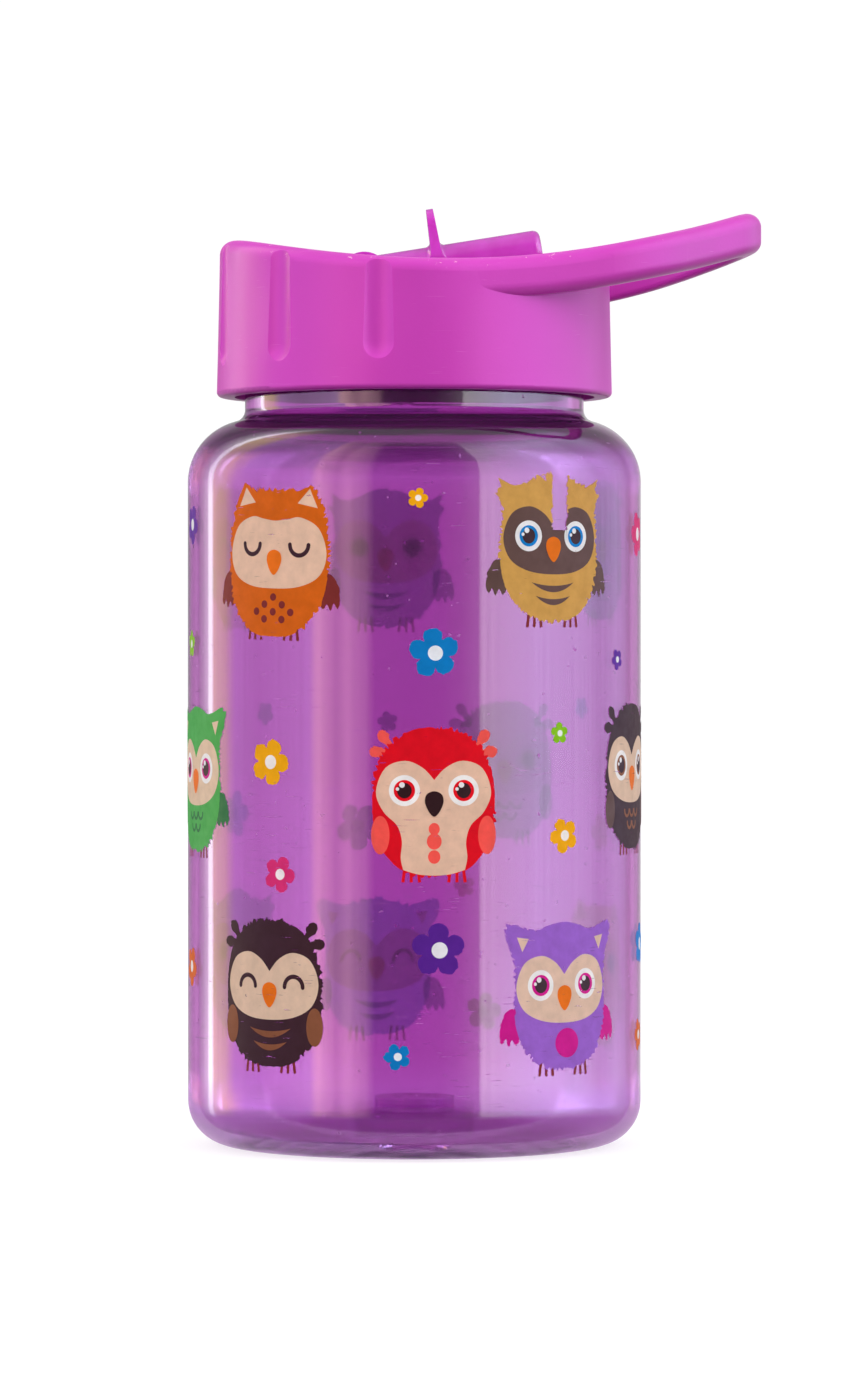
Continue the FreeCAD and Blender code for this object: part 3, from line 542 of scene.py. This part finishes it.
def resampled(points, step):
    """The same outline with a point every step."""
    out = []
    for (x0, y0), (x1, y1) in zip(points, points[1:] + points[:1]):
        count = max(1, round(math.hypot(x1 - x0, y1 - y0) / step))
        out += [(x0 + (x1 - x0) * i / count, y0 + (y1 - y0) * i / count) for i in range(count)]
    return out


def frayed(points, amount, rng):
    """The outline with runs where the ink's edge is rough."""
    points = resampled(points, FRAY_STEP)
    count = len(points)
    middle = Vector((sum(p[0] for p in points) / count, sum(p[1] for p in points) / count))
    out = []
    left = 0
    for point in points:
        if left <= 0:
            rough = rng.random() < FRAY_SHARE
            left = rng.randint(*FRAY_RUN)
        left -= 1
        shift = amount * rng.uniform(-1, 1)
        away = (Vector(point) - middle).normalized() * (shift if rough else FRAY_CALM * shift)
        out.append((point[0] + away.x, point[1] + away.y))
    return out


class Picture:
    """Ink shapes laid flat, in mm from the picture's middle, then bent round the bottle's wall."""

    def __init__(self, name, degrees, height, scale=1.0, tilt=0.0):
        self.name = name
        self.angle = math.radians(degrees)
        self.height = height
        self.scale = scale
        self.tilt = tilt
        self.rng = random.Random(name)
        self.bm = bmesh.new()
        self.inks = []

    def lay(self, outline, colour, level, fray=0.0):
        """Print one closed outline in a colour, on top of the levels below it."""
        if fray:
            outline = frayed(outline, fray, self.rng)
        if colour not in self.inks:
            self.inks.append(colour)
        spots = placed([(x * self.scale, y * self.scale) for x, y in outline], 0, 0, self.tilt)
        face = self.bm.faces.new([self.bm.verts.new((x, y, level)) for x, y in spots])
        face.material_index = self.inks.index(colour)
        face.normal_update()
        if face.normal.z < 0:
            face.normal_flip()

    def cut(self, axis, place):
        """Cut every shape along a straight line across the picture."""
        middle = Vector((place, 0, 0)) if axis == 0 else Vector((0, place, 0))
        normal = Vector((1, 0, 0)) if axis == 0 else Vector((0, 1, 0))
        parts = self.bm.verts[:] + self.bm.edges[:] + self.bm.faces[:]
        bmesh.ops.bisect_plane(self.bm, geom=parts, dist=1e-5, plane_co=middle, plane_no=normal)

    def tear(self, left, right, low):
        """Take away a strip of ink from low upwards, with uneven sides."""
        top = max(v.co.y for v in self.bm.verts)
        bmesh.ops.triangulate(self.bm, faces=self.bm.faces[:], ngon_method="EAR_CLIP")
        for place in (left, right):
            self.cut(0, place)
        for i in range(int((top - low) / TEAR_STEP) + 1):
            self.cut(1, low + TEAR_STEP * i)
        gone = []
        for face in self.bm.faces:
            c = face.calc_center_median()
            if left < c.x < right and c.y > low:
                gone.append(face)
        bmesh.ops.delete(self.bm, geom=gone, context="FACES")
        shift = {}
        for v in self.bm.verts:
            for place in (left, right):
                if abs(v.co.x - place) < 1e-4 and v.co.y > low:
                    key = (place, round(v.co.y, 3))
                    shift.setdefault(key, self.rng.uniform(-TEAR_STRAY, TEAR_STRAY))
                    v.co.x += shift[key]

    def finish(self):
        """Bend the shapes round the wall and hand back the object, riding on the bottle."""
        bmesh.ops.triangulate(self.bm, faces=self.bm.faces[:], ngon_method="EAR_CLIP")
        low = min(v.co.x for v in self.bm.verts)
        high = max(v.co.x for v in self.bm.verts)
        for i in range(1, int((high - low) / STRIP) + 1):
            self.cut(0, low + STRIP * i)
        normals = []
        for v in self.bm.verts:
            around = self.angle + v.co.x / WALL_RADIUS
            out = Vector((math.sin(around), -math.cos(around), 0))
            radius = WALL_RADIUS + INK_LIFT + INK_STEP * v.co.z
            height = self.height + v.co.y
            v.co = Vector((out.x * radius, out.y * radius, height)) * MM
            normals.append(out)
        mesh = bpy.data.meshes.new(self.name)
        self.bm.to_mesh(mesh)
        self.bm.free()
        for colour in self.inks:
            mesh.materials.append(ink_of(colour))
        for polygon in mesh.polygons:
            polygon.use_smooth = True
        mesh.normals_split_custom_set_from_vertices(normals)
        piece = bpy.data.objects.new(self.name, mesh)
        bpy.context.scene.collection.objects.link(piece)
        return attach(piece, "bottle")


made_inks = {}


def ink_of(colour):
    """The ink's material, made once."""
    if colour not in made_inks:
        made_inks[colour] = ink(colour, INKS[colour])
    return made_inks[colour]


# right halves of the owls' outlines, from the top down; a point given twice is a corner
BODIES = {
    "round": [(0, 12), (4.2, 11.3), (7.8, 8.6), (9.7, 4), (10, -1.5), (9.2, -6.3), (6.4, -10.2),
              (3.2, -11.8), (0, -12)],
    "cat": [(0, 11.5), (3.2, 11.6), (4.4, 11.3), (6.9, 12.5), (6.9, 12.5), (8.9, 8.8), (10.1, 4),
            (10.2, -1.5), (9.2, -6.5), (6.3, -10.6), (3.2, -12.2), (0, -12.4)],
    "horned": [(0, 12.1), (2.8, 11.6), (5.2, 10.5), (7.6, 10), (10.3, 11.2), (10.3, 11.2), (9.8, 9.6),
               (10.7, 8.6), (10.7, 8.6), (9.6, 6.4), (9.9, 2), (10, -2), (9, -6.6), (6.3, -10.2),
               (3.1, -11.8), (0, -12.1)],
    "broad": [(0, 12), (3.2, 11.5), (5.4, 10.8), (8, 11.2), (10.2, 11.9), (11.3, 11.2), (11.1, 9),
              (9.9, 6.2), (9.6, 2.5), (9.8, -1.2), (9.2, -5.8), (6.7, -9.9), (3.4, -11.6), (0, -11.9)],
}
EAR_LININGS = {
    "cat": [(6.5, 11.7), (4.3, 9.3), (8, 8.6)],
    "broad": [(9.3, 9.7), (7.1, 9.4), (8.3, 7.3)],
}
FACES = {
    "lobes": [(0, 3.5), (0, 3.5), (1.9, 5.5), (4.7, 6.6), (7.9, 5.4), (9.4, 1.6), (8.2, -2), (4.8, -3.9),
              (0, -4.4)],
    "soft": [(0, 6.4), (2.5, 6.7), (5, 7), (8.3, 5.3), (9.8, 1.2), (8.6, -2.4), (5, -4.2), (0, -4.6)],
    "apron": [(0, 3.5), (0, 3.5), (1.9, 5.5), (4.7, 6.6), (7.9, 5.4), (9.4, 1.6), (8.2, -1.6), (6, -3.8),
              (5.2, -6.4), (5.4, -9), (5, -11), (5, -11), (2.6, -11.7), (0, -11.9)],
}
BEAK = [(0, 1.9), (1.2, 1.4), (1.5, 0.2), (1, -1.2), (0.4, -2), (0, -2.2)]
TUFT = [(0, -0.4), (1.6, -0.5), (2.8, -0.95), (3.8, -0.6), (4.1, 0), (3.8, 0.6), (2.8, 0.95),
        (1.6, 0.5), (0, 0.4)]
WING = [(8.6, -2.5), (10.4, -2), (11.8, -3.4), (12.4, -6.2), (11.9, -7.5), (11.3, -6.7), (10.8, -7.9),
        (10.1, -6.9), (9.5, -7.7), (8.6, -6.4)]


def open_eye(picture, x, y, iris, level):
    """A white, an iris and a pupil, with two glints."""
    picture.lay(oval(x, y, 2.5, 2.5), "white", level)
    picture.lay(oval(x, y, 1.72, 1.72), iris, level + 1)
    picture.lay(oval(x, y, 1.18, 1.25), "soot", level + 2)
    picture.lay(oval(x - 0.38, y + 0.9, 0.45, 0.45, 20), "white", level + 3)
    picture.lay(oval(x - 1.1, y + 0.25, 0.28, 0.28, 16), "white", level + 3)


def closed_eye(picture, x, y, start, end, level):
    """A curved lid line, from start to end in degrees."""
    picture.lay(arc_band(x, y, 2.1, 0.72, start, end), "soot", level)


def belly_marks(picture, kind, colour, level):
    """The small marks below an owl's face, of one of five kinds."""
    if kind == "dots":
        rows = ((-6, (0,)), (-7.2, (-1.8, 1.8)), (-8.4, (-3.5, 0, 3.5)), (-9.6, (-1.8, 1.8)))
        for row, places in rows:
            for x in places:
                picture.lay(oval(x, row, 0.62, 0.62, 20), colour, level)
    elif kind == "bars":
        picture.lay(crescent(0, -5.7, 8.6, 1.6), colour, level)
        picture.lay(crescent(0, -7.9, 7.0, 1.5), colour, level)
    elif kind == "scales":
        for x, y in ((-2.4, -5.6), (0, -5.6), (2.4, -5.6), (-1.2, -7.6), (1.2, -7.6)):
            picture.lay(arc_band(x, y, 1.25, 0.5, 180, 360), colour, level)
    elif kind == "drops":
        for y, size in ((-4.4, 0.9), (-6.4, 1.2), (-8.9, 1.0)):
            picture.lay(oval(0, y, size, size * 1.1, 24), colour, level)
    elif kind == "patch":
        picture.lay(oval(0.6, -7.7, 2.5, 2.4), colour, level)


def owl(name, degrees, height, feathers, wings, face, *, body="round", cheeks="lobes", iris="brown",
        eyes="open", beak="beak", belly="dots", marks="rust", crest=None,
        feet="rust", tilt=0.0, tear=None):
    """A plain printed owl, level by level from below."""
    p = Picture(f"print_owl_{name}", degrees, height, OWL_SCALE, tilt)
    for side in (-1, 1):
        for toe in (-1, 0, 1):
            foot = side * FOOT_OUT + toe
            p.lay(stroke(foot, -10.4, foot + toe * 0.35, -13, 0.5), feet, 0)
        if body == "round":
            p.lay(placed(smooth(TUFT), 6.4, 8.2, 52, side), crest or feathers, 0, 0.15)
            p.lay(placed(smooth(TUFT), 6.4, 7.9, 3, side), crest or feathers, 1, 0.15)
            p.lay(oval(side * 8.7, -5.4, 1.5, 3.1), wings, 3)
        else:
            p.lay(placed(smooth(WING), 0, 0, 0, side), wings, 0, 0.15)
        if body in EAR_LININGS:
            p.lay(placed(EAR_LININGS[body], 0, 0, 0, side), "cream", 3)
    p.lay(smooth(mirrored(BODIES[body])), feathers, 2, 0.42)
    p.lay(smooth(mirrored(FACES[cheeks])), face, 3)
    for side in (-1, 1):
        if eyes == "open":
            open_eye(p, side * EYE_OUT, 1.8, iris, 4)
        elif eyes == "asleep":
            closed_eye(p, side * EYE_OUT, 2.6, 180, 360, 4)
        else:
            closed_eye(p, side * EYE_OUT, 1.0, 0, 180, 4)
    p.lay(placed(smooth(mirrored(BEAK)), 0, -0.2), beak, 8)
    belly_marks(p, belly, marks, 4)
    if tear:
        p.tear(*tear)
    return p.finish()


def flower(name, degrees, height, colour, radius, turn):
    """A printed flower with a white middle. The edge of a small one isn't frayed."""
    p = Picture(f"print_flower_{name}", degrees, height)
    p.lay(petals(radius, turn), colour, 0, 0.16 if radius > 2 else 0)
    p.lay(oval(0.05 * radius, 0, 0.3 * radius, 0.3 * radius, 24), "white", 1)
    return p.finish()


def print_owls():
    """Three staggered rows of owls all the way round. The angle is from the front, -Y, towards +X."""
    owl("orange", -36.5, 93.5, "orange", "rust", "cream", body="cat", cheeks="soft", eyes="asleep",
        tilt=-2)
    owl("tan", 36.5, 95.5, "tan", "cocoa", "cocoa", body="horned", iris="blue", belly="bars",
        marks="cocoa", tear=(-0.2, 2.8, 2.7))
    owl("night", 117.5, 96, "violet", "navy", "lilac", eyes="asleep", belly="scales", marks="navy")
    owl("bluish", -172, 95, "navy", "violet", "cream", body="horned", iris="leaf", belly="bars",
        marks="violet")
    owl("plum", -123, 95, "magenta", "violet", "cream", body="cat", eyes="smiling", marks="violet")
    owl("red", 5, 56, "red", "coral", "cream", cheeks="apron", iris="red", beak="soot", belly="drops",
        marks="coral", crest="coral", feet="red")
    owl("sable", 71, 59.5, "soot", "cocoa", "cream", iris="brown", belly="scales", marks="brown")
    owl("grey", 155, 59.5, "grey", "cocoa", "white", iris="magenta", belly="scales", marks="cocoa")
    owl("green", -71.5, 59, "green", "leaf", "cream", body="broad", iris="magenta", belly="scales",
        marks="leaf")
    owl("sooty", -38, 26, "soot", "brown", "cream", eyes="smiling", belly="bars", marks="brown")
    owl("lilac", 40, 25.5, "lilac", "magenta", "cream", body="broad", iris="magenta", belly="patch",
        marks="magenta")
    owl("pink", 119, 26.5, "pink", "magenta", "cream", body="cat", iris="blue", marks="magenta")
    owl("blue", -169.5, 26.5, "blue", "navy", "cream", body="broad", eyes="smiling", belly="bars",
        marks="navy")
    owl("grape", -122.5, 28.5, "violet", "magenta", "cream", body="horned", iris="leaf", belly="dots",
        marks="magenta")


# name, degrees from the front towards +X, height in mm, ink, and radius in mm
FLOWERS = (
    ("amber", 1, 103, "yellow", 1.6),
    ("blue", 5, 79, "blue", 3.9),
    ("small_violet", 61.5, 78, "violet", 1.7),
    ("yellow", -38, 62, "yellow", 3.7),
    ("lime", 38.5, 66.5, "lime", 1.7),
    ("low_yellow", 40, 50.5, "yellow", 2.8),
    ("pink", -35, 44.5, "pink", 2.9),
    ("purple", 6, 33, "violet", 4.2),
    ("low_blue", -4, 16.5, "blue", 2.1),
    ("left_violet", -75.5, 99.5, "violet", 3.2),
    ("left_olive", -76.5, 80.5, "lime", 2.2),
    ("right_pink", 77, 98, "pink", 3.6),
    ("left_orange", -76.5, 29, "orange", 3.2),
    ("right_blue", 80.5, 32.5, "blue", 3.4),
    ("right_orange", 78.5, 18, "orange", 2.6),
    ("rear_grape", -135, 69, "violet", 2.0),
    ("rear_violet", -172.5, 67.5, "violet", 1.8),
    ("rear_blue", -122, 52.5, "blue", 3.9),
    ("rear_navy", -164.5, 50, "navy", 4.0),
    ("rear_plum", 166.5, 40, "magenta", 1.9),
    ("rear_olive", 161, 19, "lime", 3.2),
    ("rear_small_blue", 128, 70, "blue", 1.8),
    ("rear_magenta", 118.5, 49.5, "magenta", 3.2),
    ("rear_orange", -148, 14.5, "orange", 2.4),
    ("rear_pink", 144, 103, "pink", 1.8),
)


FLOWER_TURN = 23.0  # degrees that each flower is turned beyond the one before it


def print_flowers():
    """Small flowers between the owls."""
    for number, (name, degrees, height, colour, radius) in enumerate(FLOWERS):
        flower(name, degrees, height, colour, radius, number * FLOWER_TURN)


# ---- camera, light and ground ------------------------------------------------------------------


CAMERA_PLACE = (0.003, -0.885, 0.0787)
CAMERA_TARGET = (0.003, 0.0, 0.07225)
CAMERA_LENS = 142.1  # mm, on a sensor 36 mm wide
PANEL_WIDTH = 0.8
PANEL_HEIGHT = 1.0
PANEL_MIDDLE = 0.75  # the height of a panel's middle above the floor
PANEL_AIM = (0, 0, 0.08)
FLOOR_HALF = 2.5
FLOOR_DROP = 0.0002  # the floor lies this far below the foot, so that they don't share a plane


def add_camera():
    """A long lens nearly a metre in front of the bottle, at half its height."""
    camera = bpy.data.objects.new("camera", bpy.data.cameras.new("camera"))
    camera.data.lens = CAMERA_LENS
    camera.data.sensor_width = 36.0
    camera.data.clip_start = 0.05
    camera.location = CAMERA_PLACE
    sight = Vector(CAMERA_TARGET) - camera.location
    camera.rotation_euler = sight.to_track_quat("-Z", "Y").to_euler()
    bpy.context.scene.collection.objects.link(camera)
    bpy.context.scene.camera = camera


def fill_light(name, azimuth, radiance):
    """A soft panel a metre away that lights but doesn't glint, at degrees from the front towards +X."""
    light = bpy.data.lights.new(name, "AREA")
    light.shape = "RECTANGLE"
    light.size = PANEL_WIDTH
    light.size_y = PANEL_HEIGHT
    light.energy = radiance * 4 * light.size * light.size_y
    lamp = bpy.data.objects.new(name, light)
    a = math.radians(azimuth)
    lamp.location = (math.sin(a), -math.cos(a), PANEL_MIDDLE)
    aim = Vector(PANEL_AIM) - lamp.location
    lamp.rotation_euler = aim.to_track_quat("-Z", "Y").to_euler()
    lamp.visible_glossy = False
    lamp.visible_transmission = False
    lamp.visible_camera = False
    bpy.context.scene.collection.objects.link(lamp)


def add_lights():
    """One soft panel on each side, in front."""
    fill_light("right_fill", 52.0, 1.9)
    fill_light("left_fill", -52.0, 1.8)


# what the gloss shows of the room: angles from the front towards +X in degrees, each with its
# brightness and its tint. A soft panel stands on each side, with the dark of the room between them.
WHITE = (1.0, 1.0, 1.0)
ROSE = (1.7, 1.0, 1.05)
PEACH = (1.3, 1.0, 0.5)
LILAC = (1.55, 1.0, 1.85)
SKY = (1.0, 1.0, 1.35)
ROOM = (
    (-180, 0.5, WHITE),
    (-152, 0.2, WHITE),
    (-142, 0.35, WHITE),
    (-135, 1.3, WHITE),
    (-129, 3.0, WHITE),
    (-127.5, 7.5, WHITE),
    (-124.5, 7.5, WHITE),
    (-122.5, 3.3, PEACH),
    (-111, 3.0, PEACH),
    (-103, 1.8, LILAC),
    (-86, 1.7, LILAC),
    (-58, 2.6, LILAC),
    (-54, 3.0, LILAC),
    (-50, 4.9, ROSE),
    (-44, 3.3, ROSE),
    (-39, 2.2, ROSE),
    (-34, 3.2, ROSE),
    (-24, 1.5, ROSE),
    (-20, 0.1, WHITE),
    (0, 0.0, WHITE),
    (14, 0.1, WHITE),
    (24, 0.5, WHITE),
    (32.5, 1.4, WHITE),
    (34, 5.8, WHITE),
    (66, 6.4, SKY),
    (80, 5.5, SKY),
    (92, 4.7, SKY),
    (108, 2.5, SKY),
    (124, 2.1, SKY),
    (140, 0.6, WHITE),
    (156, 0.45, WHITE),
    (180, 0.8, WHITE),
)
ROOM_MOST = 8.0  # the brightness that the ramp's 1 stands for
STREAKS = 0.3  # how much brighter the brightest streak is than the darkest


class World:
    """The nodes of the white room round the bottle."""

    def __init__(self):
        self.world = bpy.data.worlds.new("studio")
        self.world.use_nodes = True
        self.tree = self.world.node_tree
        self.rays = self.tree.nodes.new("ShaderNodeLightPath")
        spot = self.tree.nodes.new("ShaderNodeTexCoord")
        self.way = self.tree.nodes.new("ShaderNodeSeparateXYZ")
        self.tree.links.new(spot.outputs["Generated"], self.way.inputs[0])

    def put(self, socket, value):
        if isinstance(value, bpy.types.NodeSocket):
            self.tree.links.new(value, socket)
        else:
            socket.default_value = value

    def math(self, operation, *values):
        node = self.tree.nodes.new("ShaderNodeMath")
        node.operation = operation
        for socket, value in zip(node.inputs, values):
            self.put(socket, value)
        return node.outputs[0]

    def rising(self, low, high, below, above):
        """A level that changes smoothly from below to above as a ray's slope goes from low to high."""
        node = self.tree.nodes.new("ShaderNodeMapRange")
        node.interpolation_type = "SMOOTHSTEP"
        for socket, value in zip(node.inputs, (self.way.outputs["Z"], low, high, below, above)):
            self.put(socket, value)
        return node.outputs[0]

    def blend(self, share, first, second):
        """A mix of two colours, where a number stands for a grey."""
        node = self.tree.nodes.new("ShaderNodeMix")
        node.data_type = "RGBA"
        self.put(node.inputs["Factor"], share)
        for key, value in (("A", first), ("B", second)):
            plain = isinstance(value, float)
            self.put(node.inputs[key], (value, value, value, 1) if plain else value)
        return node.outputs["Result"]

    def scaled(self, colour, factor):
        """A colour times a number."""
        node = self.tree.nodes.new("ShaderNodeVectorMath")
        node.operation = "SCALE"
        self.put(node.inputs[0], colour)
        self.put(node.inputs["Scale"], factor)
        return node.outputs[0]

    def round_about(self):
        """The room's brightness by angle, as ROOM gives it, with faint upright streaks."""
        front = self.math("MULTIPLY", self.way.outputs["Y"], -1.0)
        angle = self.math("ARCTAN2", self.way.outputs["X"], front)
        turn = self.math("MULTIPLY_ADD", angle, 0.5 / math.pi, 0.5)
        ramp = self.tree.nodes.new("ShaderNodeValToRGB")
        stops = ramp.color_ramp.elements
        while len(stops) < len(ROOM):
            stops.new(0.5)
        for stop, (degrees, level, tint) in zip(stops, ROOM):
            stop.position = (degrees + 180) / 360
            stop.color = tuple(level * part / ROOM_MOST for part in tint) + (1.0,)
        self.put(ramp.inputs[0], turn)
        streaks = self.tree.nodes.new("ShaderNodeTexNoise")
        streaks.noise_dimensions = "1D"
        for key, value in (("W", angle), ("Scale", 22.0), ("Detail", 2.0)):
            self.put(streaks.inputs[key], value)
        least = ROOM_MOST * (1 - STREAKS / 2)
        uneven = self.math("MULTIPLY_ADD", streaks.outputs["Fac"], STREAKS * ROOM_MOST, least)
        return self.scaled(ramp.outputs["Color"], uneven)


# how the room changes with a ray's slope: two slopes, then the level below and above them
PANELS_LOW_DOWN = (-0.09, -0.045, 1.35, 1.0)
SHARE_OF_CEILING = (0.7, 0.95, 0.0, 1.0)
SHARE_OF_FLOOR = (-0.3, -0.12, 1.0, 0.0)
THROUGH_THE_PLASTIC = (0.06, 0.4, 1.02, 0.15)
ON_DULL_SURFACES = (-0.25, 0.25, 0.3, 0.85)
BACKDROP = 1.02
CEILING_IN_GLOSS = 0.9
FLOOR_IN_GLOSS = 0.8


def add_world():
    """White for the eye, with a dimmer ceiling through the plastic, and ROOM in the gloss.

    A ray that passes the plastic also counts as glossy or diffuse, so it is taken out of those.
    """
    w = World()
    panels = w.scaled(w.round_about(), w.rising(*PANELS_LOW_DOWN))
    gloss = w.blend(w.rising(*SHARE_OF_CEILING), panels, CEILING_IN_GLOSS)
    gloss = w.blend(w.rising(*SHARE_OF_FLOOR), gloss, FLOOR_IN_GLOSS)
    level = w.blend(w.rays.outputs["Is Camera Ray"], w.rising(*THROUGH_THE_PLASTIC), BACKDROP)
    bounced = w.math("SUBTRACT", 1.0, w.rays.outputs["Is Transmission Ray"])
    diffuse = w.math("MULTIPLY", w.rays.outputs["Is Diffuse Ray"], bounced)
    glossy = w.math("MULTIPLY", w.rays.outputs["Is Glossy Ray"], bounced)
    level = w.blend(diffuse, level, w.rising(*ON_DULL_SURFACES))
    level = w.blend(glossy, level, gloss)
    w.put(w.tree.nodes["Background"].inputs["Color"], level)
    w.put(w.tree.nodes["Background"].inputs["Strength"], 1.0)
    w.world.cycles.sampling_method = "NONE"
    bpy.context.scene.world = w.world


def add_floor():
    """A plain pale floor that the bottle stands on."""
    corners = [(x * FLOOR_HALF, y * FLOOR_HALF, 0) for x, y in ((-1, -1), (1, -1), (1, 1), (-1, 1))]
    mesh = bpy.data.meshes.new("floor")
    mesh.from_pydata(corners, [], [(0, 1, 2, 3)])
    g = Graph("pale_floor")
    paint = g.add(
        "ShaderNodeBsdfPrincipled",
        {
            "Base Color": g.blend(g.noise(30.0), FLOOR_DARK, FLOOR_LIGHT),
            "Roughness": 0.8,
            "Specular IOR Level": 0.1,
            "Emission Color": PAPER_WHITE,
            "Emission Strength": 0.75,
        },
    )
    mesh.materials.append(g.show(paint))
    floor = bpy.data.objects.new("floor", mesh)
    floor.location.z = -FLOOR_DROP
    floor.visible_glossy = False
    floor.visible_diffuse = False
    bpy.context.scene.collection.objects.link(floor)


def set_view():
    """Plain colours, and enough bounces for light to pass the bottle's walls and inks."""
    scene = bpy.context.scene
    scene.view_settings.view_transform = "Standard"
    scene.cycles.transparent_max_bounces = 24
    scene.cycles.max_bounces = 20
    scene.cycles.transmission_bounces = 16
    scene.cycles.glossy_bounces = 8
    scene.cycles.diffuse_bounces = 4


# ---- the whole scene ---------------------------------------------------------------------------

silicone = milky_silicone()
dress("bottle_body", clear_violet())
dress("lid_shell", satin_magenta())
dress("flip_spout", deep_violet())
dress("hinge_pins", ground_steel())
for node in ("lid_gasket", "spout_seal", "vent_valve"):
    dress(node, silicone)
print_owls()
print_flowers()
add_camera()
add_lights()
add_world()
add_floor()
set_view()
